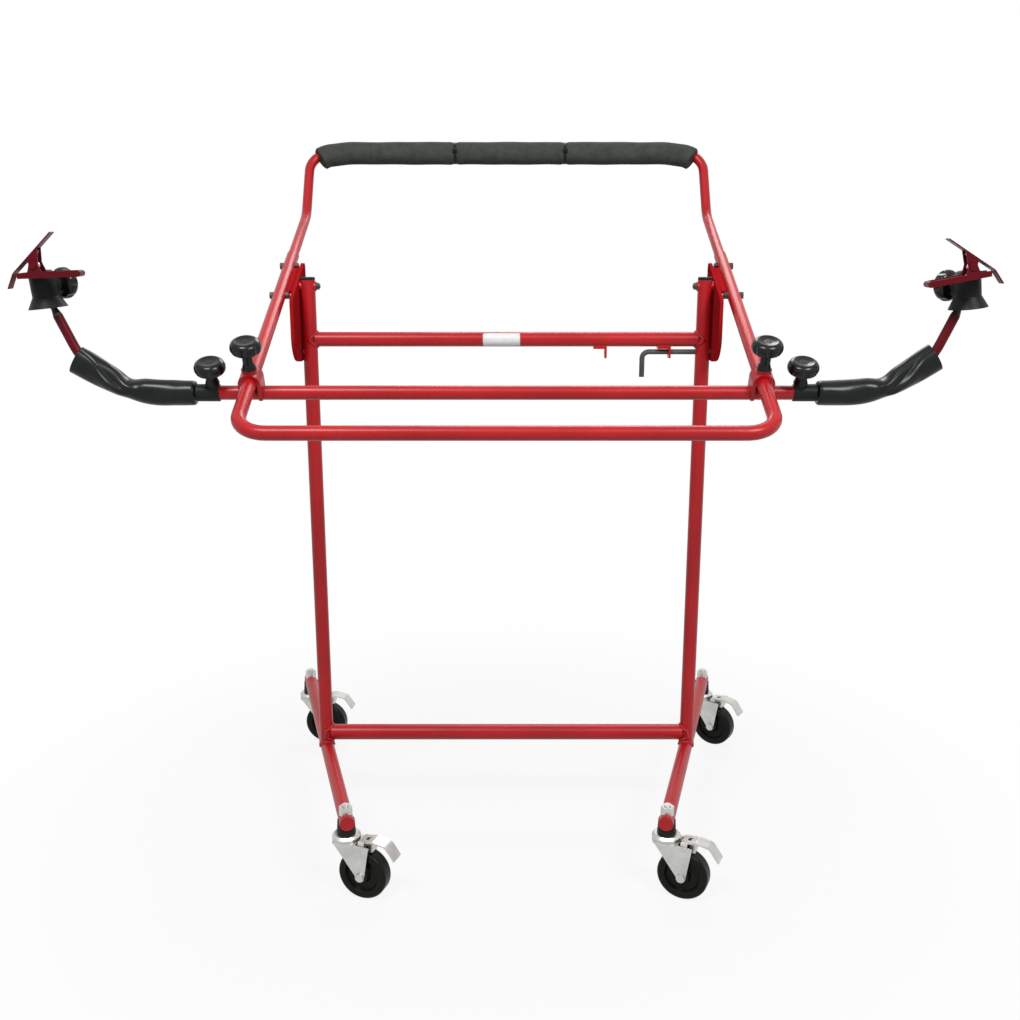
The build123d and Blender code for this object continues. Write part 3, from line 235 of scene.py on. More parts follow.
def apply_modifiers(obj):
    """Turns an object with modifiers into a plain mesh object of the same name."""
    graph = bpy.context.evaluated_depsgraph_get()
    mesh = bpy.data.meshes.new_from_object(obj.evaluated_get(graph))
    name = obj.name
    bpy.data.objects.remove(obj)
    mesh.name = name
    for polygon in mesh.polygons:
        polygon.use_smooth = True
    return link(bpy.data.objects.new(name, mesh))


def thicken(obj, thickness):
    """Gives an open skin a wall on its inner side and returns it as a plain mesh object."""
    wall = obj.modifiers.new("Wall", "SOLIDIFY")
    wall.thickness = thickness
    wall.offset = -1.0
    return apply_modifiers(obj)


def math_node(nodes, links, operation, *values):
    """Result of a math node whose inputs are sockets or plain numbers."""
    node = nodes.new("ShaderNodeMath")
    node.operation = operation
    for socket, value in zip(node.inputs, values):
        if isinstance(value, bpy.types.NodeSocket):
            links.new(value, socket)
        else:
            socket.default_value = value
    return node.outputs[0]


def smooth_step(low, high, value):
    """Eases from 0 at low to 1 at high."""
    t = min(1.0, max(0.0, (value - low) / (high - low)))
    return t * t * (3 - 2 * t)


def bump(centre, width, value):
    """A smooth hump of height 1 at its centre."""
    return math.exp(-((value - centre) / width) ** 2)


# Finishes

def scaled(tone, factor):
    """A colour times a factor, kept within range."""
    return tuple(min(1.0, channel * factor) for channel in tone)


class Finish:
    """A material with its shader, its object coordinates and short ways to add texture nodes."""

    def __init__(self, name):
        self.material = bpy.data.materials.new(name)
        self.material.use_nodes = True
        tree = self.material.node_tree
        self.nodes, self.links = tree.nodes, tree.links
        self.shader = self.nodes["Principled BSDF"]
        self.place = self.nodes.new("ShaderNodeTexCoord").outputs["Object"]

    def set(self, **values):
        for name, value in values.items():
            self.shader.inputs[name.replace("_", " ")].default_value = value

    def noise(self, scale, detail=3.0, roughness=0.5):
        node = self.nodes.new("ShaderNodeTexNoise")
        node.inputs["Scale"].default_value = scale
        node.inputs["Detail"].default_value = detail
        node.inputs["Roughness"].default_value = roughness
        self.links.new(self.place, node.inputs["Vector"])
        return node.outputs["Fac"]

    def cells(self, scale):
        node = self.nodes.new("ShaderNodeTexVoronoi")
        node.inputs["Scale"].default_value = scale
        self.links.new(self.place, node.inputs["Vector"])
        return node.outputs["Distance"]

    def ramp(self, source, low, high, first, last):
        node = self.nodes.new("ShaderNodeValToRGB")
        node.color_ramp.elements[0].position = low
        node.color_ramp.elements[1].position = high
        node.color_ramp.elements[0].color = (*first, 1.0)
        node.color_ramp.elements[1].color = (*last, 1.0)
        self.links.new(source, node.inputs["Fac"])
        return node.outputs["Color"]

    def spread(self, source, low, high):
        node = self.nodes.new("ShaderNodeMapRange")
        node.inputs["To Min"].default_value = low
        node.inputs["To Max"].default_value = high
        self.links.new(source, node.inputs["Value"])
        return node.outputs["Result"]

    def colour(self, source):
        self.links.new(source, self.shader.inputs["Base Color"])

    def rough(self, source):
        self.links.new(source, self.shader.inputs["Roughness"])

    def relief(self, *layers):
        """Bumps one on another, each a source, a strength and a depth in metres."""
        normal = None
        for source, strength, depth in layers:
            node = self.nodes.new("ShaderNodeBump")
            node.inputs["Strength"].default_value = strength
            node.inputs["Distance"].default_value = depth
            self.links.new(source, node.inputs["Height"])
            if normal is not None:
                self.links.new(normal, node.inputs["Normal"])
            normal = node.outputs["Normal"]
        self.links.new(normal, self.shader.inputs["Normal"])


def powder_coat(name, first, second, gloss):
    """Powder coat with a fine orange peel and cloudy thickness."""
    made = Finish(name)
    made.colour(made.ramp(made.noise(9.0, 4.0), 0.35, 0.75, first, second))
    made.rough(made.spread(made.noise(22.0, 5.0, 0.6), 0.26, 0.40))
    made.relief((made.noise(420.0, 2.0), 0.10, 0.0006), (made.noise(60.0, 2.0), 0.06, 0.0010))
    made.set(Specular_IOR_Level=gloss)
    return made.material


def plated(name, bright, dull):
    """Zinc plating, cloudy and faintly brushed."""
    made = Finish(name)
    made.colour(made.ramp(made.noise(45.0, 6.0, 0.65), 0.30, 0.72, dull, bright))
    made.rough(made.spread(made.noise(130.0, 5.0, 0.6), 0.24, 0.46))
    made.relief((made.noise(900.0, 3.0), 0.08, 0.0003))
    made.set(Metallic=1.0)
    return made.material


def moulded(name, tone, rough, grain, depth, gloss):
    """Moulded plastic or rubber with a fine grain."""
    made = Finish(name)
    made.colour(made.ramp(made.noise(30.0, 5.0, 0.6), 0.35, 0.80, tone, scaled(tone, 1.9)))
    made.rough(made.spread(made.noise(70.0, 4.0, 0.6), *rough))
    made.relief((made.noise(grain, 3.0, 0.6), 0.25, depth))
    made.set(Specular_IOR_Level=gloss)
    return made.material


def soft_vinyl(name, tone):
    """Soft vinyl with a leather-like grain."""
    made = Finish(name)
    made.colour(made.ramp(made.noise(40.0, 5.0, 0.6), 0.35, 0.80, tone, scaled(tone, 2.2)))
    made.rough(made.spread(made.noise(60.0, 4.0, 0.6), 0.21, 0.31))
    made.relief((made.noise(90.0, 3.0), 0.08, 0.0012), (made.cells(900.0), 0.03, 0.0003))
    made.set(Specular_IOR_Level=0.21)
    return made.material


def closed_cell(name, tone):
    """Closed-cell foam: fine pits and a dusty, uneven skin."""
    made = Finish(name)
    made.colour(made.ramp(made.noise(70.0, 6.0, 0.7), 0.30, 0.80, tone, scaled(tone, 1.8)))
    made.rough(made.spread(made.noise(200.0, 3.0), 0.74, 0.95))
    made.relief((made.noise(35.0, 3.0), 0.20, 0.0016), (made.cells(900.0), 0.45, 0.0005))
    made.set(Specular_IOR_Level=0.06)
    return made.material


def paper_label(name, tone):
    """Blank label with a satin face and slight handling marks."""
    made = Finish(name)
    made.colour(made.ramp(made.noise(120.0, 5.0, 0.6), 0.30, 0.75, scaled(tone, 0.90), tone))
    made.rough(made.spread(made.noise(160.0, 3.0), 0.32, 0.50))
    made.relief((made.noise(500.0, 3.0), 0.10, 0.0002))
    return made.material


def make_finishes():
    """Materials by the record's slots, with four more for pieces that look different: the plate red is the red
    paint darkened as painted shade, and the dark red is a darker paint with painted shade in it.
    """
    tone = colours()
    return {
        "red_paint": powder_coat("red_powder_coat", tone.red_paint, tone.red_shade, gloss=0.28),
        # Plate coat: the red paint darkened as painted shade, with no gloss.
        "shaded_plate_red": powder_coat("shaded_plate_coat", tone.shaded_plate_red, tone.plate_red_shade, gloss=0.0),
        # Dark red: a darker red paint that also carries painted shade for the arms, clamps and clamp pins.
        "shaded_dark_red": powder_coat("dark_red_coat", tone.shaded_dark_red, tone.dark_red_shade, gloss=0.11),
        "zinc": plated("zinc_plate", tone.zinc, tone.zinc_dull),
        "dull_steel": plated("dull_steel", tone.dull_steel, tone.dull_steel_dark),
        "black_steel": moulded(
            "blackened_steel", tone.black_steel, rough=(0.28, 0.46), grain=700.0, depth=0.0003, gloss=0.20
        ),
        "knob_black": moulded(
            "knob_plastic", tone.knob, rough=(0.15, 0.28), grain=600.0, depth=0.0003, gloss=0.24
        ),
        "black_nylon": moulded(
            "black_nylon", tone.nylon, rough=(0.36, 0.54), grain=900.0, depth=0.0004, gloss=0.12
        ),
        "sleeve_vinyl": soft_vinyl("sleeve_vinyl", tone.vinyl),
        "foam": closed_cell("foam_skin", tone.foam),
        "wheel_rubber": moulded(
            "wheel_rubber", tone.tyre, rough=(0.26, 0.44), grain=500.0, depth=0.0005, gloss=0.12
        ),
        "label": paper_label("blank_label", tone.label),
    }


FINISHES = {}


# Geometry Nodes

RIPPLE_DEPTH = 0.12
TUBE_SIDES = 10


def tube_tree(name, ripple):
    """A tube along a curve, with an optional ripple along its length."""
    tree = bpy.data.node_groups.new(name, "GeometryNodeTree")
    tree.interface.new_socket("Geometry", in_out="INPUT", socket_type="NodeSocketGeometry")
    for label in ("Radius", "Ripple Pitch", "Spacing") if ripple else ("Radius",):
        tree.interface.new_socket(label, in_out="INPUT", socket_type="NodeSocketFloat")
    tree.interface.new_socket("Material", in_out="INPUT", socket_type="NodeSocketMaterial")
    tree.interface.new_socket("Geometry", in_out="OUTPUT", socket_type="NodeSocketGeometry")
    nodes, links = tree.nodes, tree.links
    given = nodes.new("NodeGroupInput")
    result = nodes.new("NodeGroupOutput")
    curve = given.outputs["Geometry"]
    if ripple:
        resample = nodes.new("GeometryNodeResampleCurve")
        resample.mode = "LENGTH"
        links.new(curve, resample.inputs["Curve"])
        links.new(given.outputs["Spacing"], resample.inputs["Length"])
        along = nodes.new("GeometryNodeSplineParameter")
        pitch = given.outputs["Ripple Pitch"]
        turns = math_node(nodes, links, "DIVIDE", along.outputs["Length"], pitch)
        phase = math_node(nodes, links, "MULTIPLY", turns, 2 * math.pi)
        wave = math_node(nodes, links, "SINE", phase)
        swell = math_node(nodes, links, "MULTIPLY_ADD", wave, RIPPLE_DEPTH, 1.0)
        radius = nodes.new("GeometryNodeSetCurveRadius")
        links.new(resample.outputs["Curve"], radius.inputs["Curve"])
        links.new(swell, radius.inputs["Radius"])
        curve = radius.outputs["Curve"]
        scale = nodes.new("GeometryNodeInputRadius").outputs["Radius"]
    ring = nodes.new("GeometryNodeCurvePrimitiveCircle")
    ring.inputs["Resolution"].default_value = TUBE_SIDES
    links.new(given.outputs["Radius"], ring.inputs["Radius"])
    skin = nodes.new("GeometryNodeCurveToMesh")
    skin.inputs["Fill Caps"].default_value = True
    links.new(curve, skin.inputs["Curve"])
    links.new(ring.outputs["Curve"], skin.inputs["Profile Curve"])
    if ripple:
        links.new(scale, skin.inputs["Scale"])
    realize = nodes.new("GeometryNodeRealizeInstances")
    links.new(skin.outputs["Mesh"], realize.inputs["Geometry"])
    finish = nodes.new("GeometryNodeSetMaterial")
    links.new(realize.outputs["Geometry"], finish.inputs["Geometry"])
    links.new(given.outputs["Material"], finish.inputs["Material"])
    links.new(finish.outputs["Geometry"], result.inputs["Geometry"])
    return tree


def tree_inputs(tree):
    """Identifiers of a tree's inputs by name."""
    return {
        item.name: item.identifier
        for item in tree.interface.items_tree
        if item.item_type == "SOCKET" and item.in_out == "INPUT"
    }


def tube_along(name, tree, lines, closed, material, **values):
    """A mesh of tubes along lists of points, made by a node tree."""
    curve = bpy.data.curves.new(name, "CURVE")
    curve.dimensions = "3D"
    for points in lines:
        spline = curve.splines.new("POLY")
        spline.points.add(len(points) - 1)
        for spot, point in zip(spline.points, points):
            spot.co = (*point, 1.0)
        spline.use_cyclic_u = closed
    obj = link(bpy.data.objects.new(name, curve))
    modifier = obj.modifiers.new("Tube", "NODES")
    modifier.node_group = tree
    names = tree_inputs(tree)
    for label, value in values.items():
        modifier[names[label.replace("_", " ")]] = value
    modifier[names["Material"]] = material
    return apply_modifiers(obj)


# Frame finishes

class STAND_OT_finish_frame(Operator):
    """Give each piece of the frame its finish"""

    bl_idname = "stand.finish_frame"
    bl_label = "Finish Frame"

    # Pieces whose finish differs from the one of their slot in the record; the plate red and the dark red carry
    # painted shade
    OWN_FINISH = {
        "index_plate": "shaded_plate_red",
        "loop_bolts": "dull_steel",
        "arm_tube": "shaded_dark_red",
        "clamp_body": "shaded_dark_red",
        "clamp_lever": "shaded_dark_red",
        "clamp_pin": "shaded_dark_red",
        "arm_ball": "black_steel",
    }

    def execute(self, context):
        FINISHES.update(make_finishes())
        for part in frame["record"]["subparts"]:
            mesh = frame["nodes"][part["node"]].data
            mesh.materials.clear()
            kind = part["node"].removesuffix("_left").removesuffix("_right")
            mesh.materials.append(FINISHES[self.OWN_FINISH.get(kind, part["material_slot"])])
        return {"FINISHED"}


# Foam grip and its ties

def handle_place():
    """The top bar's middle, the way down the handle's legs, and the way out of the handle's plane."""
    size = sizes()
    rise = math.atan2(SLOPE.z, SLOPE.y) + size.handle_kick
    down = Vector((0.0, -math.cos(rise), -math.sin(rise)))
    half = size.foam_diameter / 2
    middle = Vector((0.0, FOAM[1].y - half, FOAM[1].z - half))
    out = Vector((1.0, 0.0, 0.0)).cross(down)
    return middle, down, out


def foam_straight():
    """Half the straight run of the handle's top."""
    size = sizes()
    return HANDLE[1].x - size.handle_radius - size.foam_corner


def foam_line(travel):
    """Point of the foam's middle line at a distance from its middle, with the ways inward and out."""
    size = sizes()
    middle, down, out = handle_place()
    side = 1.0 if travel >= 0 else -1.0
    reach = abs(travel)
    straight = foam_straight()
    turn = max(0.0, reach - straight) / size.foam_corner
    x = min(reach, straight) + size.foam_corner * math.sin(turn)
    fall = size.foam_corner * (1 - math.cos(turn))
    point = middle + Vector((side * x, 0, 0)) + down * fall
    inward = Vector((-side * math.sin(turn), 0, 0)) + down * math.cos(turn)
    return point, inward, out


class STAND_OT_foam_grip(Operator):
    """Foam grip over the top of the handle, pressed in at its ties"""

    bl_idname = "stand.foam_grip"
    bl_label = "Foam Grip"

    ROWS = 260
    COLUMNS = 40
    # The ends hang by this much, over this length
    DROOP = 0.0065
    DROOP_LENGTH = 0.060
    # Room inside the outline for the swell beside the ties
    SWELL = 0.0004
    # Reach of a tie's bite and of the swell beside it, over the tie's width
    BITE_REACH = 0.85
    SWELL_REACH = 3.0
    END_ROUND = 0.0035
    END_DEPTH = 0.0028
    # Unevenness of the skin: height, waves along the grip and waves round it
    WAVES = ((0.00022, 41, 2), (0.00018, 97, -3))

    def radius(self, travel, turn, half_length):
        size = sizes()
        radius = size.foam_diameter / 2 - self.SWELL
        past = max(0.0, self.END_ROUND - half_length + abs(travel)) / self.END_ROUND
        radius -= self.END_DEPTH * (1 - math.sqrt(max(0.0, 1 - past * past)))
        for tie in (size.tie_left, size.tie_right):
            radius -= size.tie_bite * bump(tie, size.tie_width * self.BITE_REACH, travel)
            radius += self.SWELL * bump(tie, size.tie_width * self.SWELL_REACH, travel)
        for height, along, around in self.WAVES:
            radius += height * math.sin(along * travel + around * turn)
        return radius

    def execute(self, context):
        size = sizes()
        half_length = foam_straight() + size.foam_corner * size.foam_bend
        outer, inner = [], []
        for row in range(self.ROWS):
            share = row / (self.ROWS - 1)
            travel = half_length * (2 * share - 1)
            point, inward, out = foam_line(travel)
            near_end = smooth_step(half_length - self.DROOP_LENGTH, half_length, abs(travel))
            droop = inward * (self.DROOP * near_end)
            for column in range(self.COLUMNS):
                turn = 2 * math.pi * column / self.COLUMNS
                way = inward * math.cos(turn) + out * math.sin(turn)
                outer.append(point + droop + way * self.radius(travel, turn, half_length))
                inner.append(point + way * (size.foam_bore / 2))
        rows, columns = self.ROWS, self.COLUMNS
        count = rows * columns
        faces = rings_to_faces(rows, columns)
        faces += [tuple(count + i for i in reversed(face)) for face in rings_to_faces(rows, columns)]
        for start in (0, count - columns):
            for column in range(columns):
                beside = (column + 1) % columns
                a, b = start + column, start + beside
                faces.append((a, b, count + b, count + a))
        foam = mesh_object("foam_sleeve", outer + inner, faces, FINISHES["foam"])
        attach(foam, "tilt_frame")
        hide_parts("foam_grip")
        return {"FINISHED"}


class STAND_OT_grip_ties(Operator):
    """Ties round the foam grip, each a band with its lock on the far side"""

    bl_idname = "stand.grip_ties"
    bl_label = "Grip Ties"

    COLUMNS = 48
    EDGE_SHARE = 0.3
    # The lock and its cut tail: width, depth, height and height of the foot above the band
    LOCK_BLOCKS = ((0.0078, 0.0072, 0.0044, 0.0), (0.0044, 0.0016, 0.0036, 0.0044))
    LOCK_TAPER = 0.14
    # Where the lock sits: shares of the ways inward and out of the handle's plane
    LOCK_SIDE = (0.35, -0.94)
    # Faces of a block whose corners are counted over x, y and z
    BLOCK_FACES = ((0, 1, 3, 2), (4, 6, 7, 5), (0, 4, 5, 1), (2, 3, 7, 6), (0, 2, 6, 4), (1, 5, 7, 3))

    def band(self, tie, verts, faces):
        size = sizes()
        point, inward, out = foam_line(tie)
        along = Vector((1.0, 0.0, 0.0))
        low = size.foam_diameter / 2 - size.tie_bite
        high = low + size.tie_thick
        half = size.tie_width / 2
        edge = size.tie_thick * self.EDGE_SHARE
        section = [
            (-half, low), (half, low), (half, high - edge),
            (half - edge, high), (-half + edge, high), (-half, high - edge),
        ]
        base = len(verts)
        for column in range(self.COLUMNS):
            turn = 2 * math.pi * column / self.COLUMNS
            way = inward * math.cos(turn) + out * math.sin(turn)
            verts += [point + along * x + way * r for x, r in section]
        corners = len(section)
        for face in rings_to_faces(self.COLUMNS, corners, close_rows=True):
            faces.append(tuple(base + i for i in face))

    def lock(self, tie, verts, faces):
        """The tie's lock: a small block behind the grip, with its cut tail."""
        size = sizes()
        point, inward, out = foam_line(tie)
        low = size.foam_diameter / 2 - size.tie_bite
        behind = (inward * self.LOCK_SIDE[0] + out * self.LOCK_SIDE[1]).normalized()
        across = Vector((1.0, 0.0, 0.0)).cross(behind)
        for width, deep, tall, rise in self.LOCK_BLOCKS:
            base = len(verts)
            for x in (-1, 1):
                for y in (-1, 1):
                    for z in (0, 1):
                        taper = 1.0 - self.LOCK_TAPER * z
                        verts.append(
                            point + Vector((x * width / 2 * taper, 0, 0)) + across * (y * deep / 2 * taper)
                            + behind * (low + rise + z * tall)
                        )
            for face in self.BLOCK_FACES:
                faces.append(tuple(base + i for i in face))

    def execute(self, context):
        verts, faces = [], []
        for tie in (sizes().tie_left, sizes().tie_right):
            self.band(tie, verts, faces)
            self.lock(tie, verts, faces)
        ties = mesh_object("grip_ties", verts, faces, FINISHES["black_nylon"], smooth=False)
        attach(ties, "tilt_frame")
        return {"FINISHED"}


# Arm sleeves

class STAND_OT_arm_sleeves(Operator):
    """Soft sleeves over the arms, pinched at the bend and open at the mouth"""

    bl_idname = "stand.arm_sleeves"
    bl_label = "Arm Sleeves"

    ROWS = 180
    COLUMNS = 128
    END_ROUND = 0.005
    END_CLOSE = 0.84
    RIM_ROOM = 0.0004
    # Shares of the sleeve's length: middle and width of the pinch, the full part and the dent by the kink
    PINCH = (0.545, 0.085)
    FULL = (0.28, 0.22)
    DENT = (0.475, 0.05)
    # Shares of the sleeve's length: start and end of the flare, and of the crease's climb, growth and loss
    FLARE = (0.58, 0.95)
    RIDGE_CLIMB = (0.48, 1.02)
    CREASE_GROWS = (0.50, 0.60)
    CREASE_FADES = (0.70, 1.0)
    # Share of the crease that is gone at the mouth
    CREASE_LOSS = 0.6
    # Turn of the crease from the sleeve's front: at the kink, from there to the mouth, and by side
    RIDGE_LOW = -0.50
    RIDGE_RISE = 1.50
    RIDGE_TURN = {"left": 0.06, "right": -0.12}
    # Half sizes over the half width: plain, then what fullness, pinch and flare add
    TOP = (0.92, 0.07, -0.38, 0.25)
    BOTTOM = (0.97, 0.06, -0.05, 0.10)
    WIDE = (0.95, 0.00, 0.10, -0.13)
    CREASE_HEIGHT = 0.0031
    DENT_DEPTH = 0.0016
    # Middle and width of the dent, as turns from the sleeve's front
    DENT_TURN = (0.45, 0.55)
    # Unevenness of the skin: height, start and end of its growth, and waves round, along and by side
    WAVE_HEIGHT = 0.00035
    WAVE_START = (0.05, 0.2)
    WAVES = (3, 15, 2)
    # Outline of the crease: turn from its line, and height
    CREASE = ((-1.10, 0.0), (-0.24, 1.0), (0.16, -0.9), (0.45, -0.6), (1.00, 0.0))

    def lead(self, full_bend):
        """Distance from the sleeve's corner to each end of its bend."""
        return sizes().sleeve_radius * math.tan(full_bend / 2)

    def line(self, travel, full_bend):
        """Point and turn of the sleeve's middle line, in the plane of the arm."""
        size = sizes()
        start = SLEEVE[0].x
        straight = size.sleeve_corner - self.lead(full_bend) - start
        bend = size.sleeve_radius * full_bend
        if travel < straight:
            x, z, turn = start + travel, 0.0, 0.0
        else:
            turn = min(full_bend, (travel - straight) / size.sleeve_radius)
            x = start + straight + size.sleeve_radius * math.sin(turn)
            z = size.sleeve_radius * (1 - math.cos(turn))
            past = max(0.0, travel - straight - bend)
            x += past * math.cos(turn)
            z += past * math.sin(turn)
        return x, z, turn

    def total(self, full_bend):
        """Length of the sleeve's middle line."""
        size = sizes()
        runs = size.sleeve_corner - SLEEVE[0].x + size.sleeve_outer - 2 * self.lead(full_bend)
        return runs + size.sleeve_radius * full_bend

    def ridge(self, share, phase):
        """Where the crease runs, as a turn from the sleeve's front: low at the kink, high at the mouth."""
        return self.RIDGE_LOW + self.RIDGE_RISE * smooth_step(*self.RIDGE_CLIMB, share) + phase

    def crease(self, off):
        """Height of the crease beside its line: a long face, a lip, and a narrow valley above."""
        for (start, low), (end, high) in zip(self.CREASE, self.CREASE[1:]):
            if start <= off < end:
                return low + (high - low) * (off - start) / (end - start)
        return 0.0

    def section(self, share, column, phase):
        """Offset of the skin from the middle line, to the front and up."""
        half = sizes().sleeve_half
        front_turn = 2 * math.pi * column / self.COLUMNS
        front_turn = front_turn if front_turn <= math.pi else front_turn - 2 * math.pi
        ridge = self.ridge(share, phase)
        turn = front_turn + ridge * math.cos(front_turn / 2) ** 2
        swells = (1.0, bump(*self.FULL, share), bump(*self.PINCH, share), smooth_step(*self.FLARE, share))
        top, bottom, wide = (
            half * sum(share_of * swell for share_of, swell in zip(shares, swells))
            for shares in (self.TOP, self.BOTTOM, self.WIDE)
        )
        folded = smooth_step(*self.CREASE_GROWS, share)
        folded *= 1 - self.CREASE_LOSS * smooth_step(*self.CREASE_FADES, share)
        grow = self.CREASE_HEIGHT * folded * self.crease(turn - ridge)
        grow -= self.DENT_DEPTH * bump(*self.DENT, share) * bump(*self.DENT_TURN, turn)
        around, along, by_side = self.WAVES
        wave = math.sin(around * turn + along * share + by_side * phase)
        grow += self.WAVE_HEIGHT * wave * smooth_step(*self.WAVE_START, share)
        rise = (top if turn > 0 else bottom) + grow
        return math.cos(turn) * (wide + grow), math.sin(turn) * rise

    def build(self, side, full_bend):
        """One sleeve. Column 0 faces the front and follows the crease."""
        size = sizes()
        way = SIDES[side]
        phase = self.RIDGE_TURN[side]
        total = self.total(full_bend)
        verts = []
        for row in range(self.ROWS):
            share = row / (self.ROWS - 1)
            x, z, tilt = self.line(share * total, full_bend)
            short = max(0.0, self.END_ROUND - share * total) / self.END_ROUND
            close = self.END_CLOSE + (1 - self.END_CLOSE) * math.sqrt(1 - short * short)
            for column in range(self.COLUMNS):
                out, rise = self.section(share, column, phase)
                out, rise = out * close, rise * close
                verts.append(Vector((
                    way * (x - rise * math.sin(tilt)),
                    ARM_AXIS.y - out,
                    ARM_AXIS.z + z + rise * math.cos(tilt),
                )))
        faces = rings_to_faces(self.ROWS, self.COLUMNS)
        rim = size.arm_radius + self.RIM_ROOM
        base = len(verts)
        for column in range(self.COLUMNS):
            turn = 2 * math.pi * column / self.COLUMNS
            verts.append(Vector((
                way * SLEEVE[0].x, ARM_AXIS.y - rim * math.cos(turn), ARM_AXIS.z + rim * math.sin(turn)
            )))
        for column in range(self.COLUMNS):
            beside = (column + 1) % self.COLUMNS
            faces.append((column, beside, base + beside, base + column))
        sleeve = mesh_object(f"arm_sleeve_skin_{side}", verts, faces, FINISHES["sleeve_vinyl"])
        sleeve = thicken(sleeve, size.sleeve_wall)
        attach(sleeve, f"arm_{side}")
        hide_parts(f"arm_sleeve_{side}")

    def execute(self, context):
        self.build("left", sizes().sleeve_bend_left)
        self.build("right", sizes().sleeve_bend_right)
        return {"FINISHED"}


# Clamp springs

class STAND_OT_clamp_springs(Operator):
    """Wound springs round the clamps' pins, with their straight ends"""

    bl_idname = "stand.clamp_springs"
    bl_label = "Clamp Springs"

    # Points on each quarter turn
    STEPS = 16

    def line(self, side, pin):
        """Points of one spring's wire: its leg on the fixed jaw, its coil and its leg on the moving jaw."""
        size = sizes()
        knob = JOINTS[f"pinch_knob_turn_{side}"]["axis"]
        lean = math.atan2(-knob[2], -SIDES[side] * knob[0])
        rise = size.spring_pitch / (2 * math.pi)
        last = size.spring_quarters * math.pi / 2

        def spot(turn):
            around = size.spring_start + turn
            x, z = size.spring_radius * math.cos(around), size.spring_radius * math.sin(around)
            return Vector((x, rise * (turn - last / 2), z))

        def way(turn):
            around = size.spring_start + turn
            return Vector((
                -size.spring_radius * math.sin(around), rise, size.spring_radius * math.cos(around)
            )).normalized()

        steps = size.spring_quarters * self.STEPS
        points = [spot(0) - way(0) * size.spring_jaw_leg]
        points += [spot(last * i / steps) for i in range(steps + 1)]
        points.append(spot(last) + way(last) * size.spring_lever_leg)
        turned = Matrix.Rotation(-lean, 4, "Y")
        flip = Matrix.Diagonal((SIDES[side], 1.0, 1.0, 1.0))
        return [pin + flip @ (turned @ point) for point in points]

    def execute(self, context):
        size = sizes()
        tree = tube_tree("Wound Wire", ripple=False)
        for side in SIDES:
            pin = Vector(JOINTS[f"jaw_{side}"]["pos_m"])
            spring = tube_along(
                f"clamp_spring_wire_{side}", tree, [self.line(side, pin)], False, FINISHES["zinc"],
                Radius=size.spring_wire / 2,
            )
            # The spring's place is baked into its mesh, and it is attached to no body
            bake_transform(spring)
            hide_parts(f"clamp_spring_{side}")
        return {"FINISHED"}


# Weld beads

class STAND_OT_weld_beads(Operator):
    """Weld beads where the base's tubes meet, under the same paint"""

    bl_idname = "stand.weld_beads"
    bl_label = "Weld Beads"

    POINTS = 96
    RIPPLE_POINTS = 5

    def bar_end(self, bar, way):
        """Round a crossbar's end, on the side of the upright."""
        middle = (bar[0] + bar[1]) / 2
        radius = (bar[1].z - bar[0].z) / 2
        post = (UPRIGHT[1].x - UPRIGHT[0].x) / 2
        post_x = (UPRIGHT[0].x + UPRIGHT[1].x) / 2
        line = []
        for step in range(self.POINTS):
            turn = 2 * math.pi * step / self.POINTS
            y, z = radius * math.cos(turn), radius * math.sin(turn)
            inset = math.sqrt(max(0.0, post * post - y * y))
            line.append(Vector((way * (post_x - inset), middle.y + y, middle.z + z)))
        return line

    def foot(self, way):
        """Round an upright's foot, on top of the leg."""
        post_x = (UPRIGHT[0].x + UPRIGHT[1].x) / 2
        post_y = (UPRIGHT[0].y + UPRIGHT[1].y) / 2
        radius = (UPRIGHT[1].x - UPRIGHT[0].x) / 2
        leg_z = (LEG[0].z + LEG[1].z) / 2
        leg_radius = (LEG[1].z - LEG[0].z) / 2
        run = Vector((LEG[1].x - LEG[0].x, LEG[1].y - LEG[0].y))
        across = Vector((run.y, -run.x)).normalized()
        line = []
        for step in range(self.POINTS):
            turn = 2 * math.pi * step / self.POINTS
            x, y = radius * math.cos(turn), radius * math.sin(turn)
            off = x * across.x + y * across.y
            z = leg_z + math.sqrt(max(0.0, leg_radius ** 2 - off * off))
            line.append(Vector((way * (post_x + x), post_y + y, z)))
        return line

    def execute(self, context):
        size = sizes()
        tree = tube_tree("Weld Bead", ripple=True)
        lines = [self.bar_end(bar, way) for bar in (UPPER_BAR, LOWER_BAR) for way in SIDES.values()]
        lines += [self.foot(way) for way in SIDES.values()]
        beads = tube_along(
            "weld_beads", tree, lines, True, FINISHES["red_paint"],
            Radius=size.bead_radius, Ripple_Pitch=size.bead_pitch,
            Spacing=size.bead_pitch / self.RIPPLE_POINTS,
        )
        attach(beads, "base")
        return {"FINISHED"}


# Label

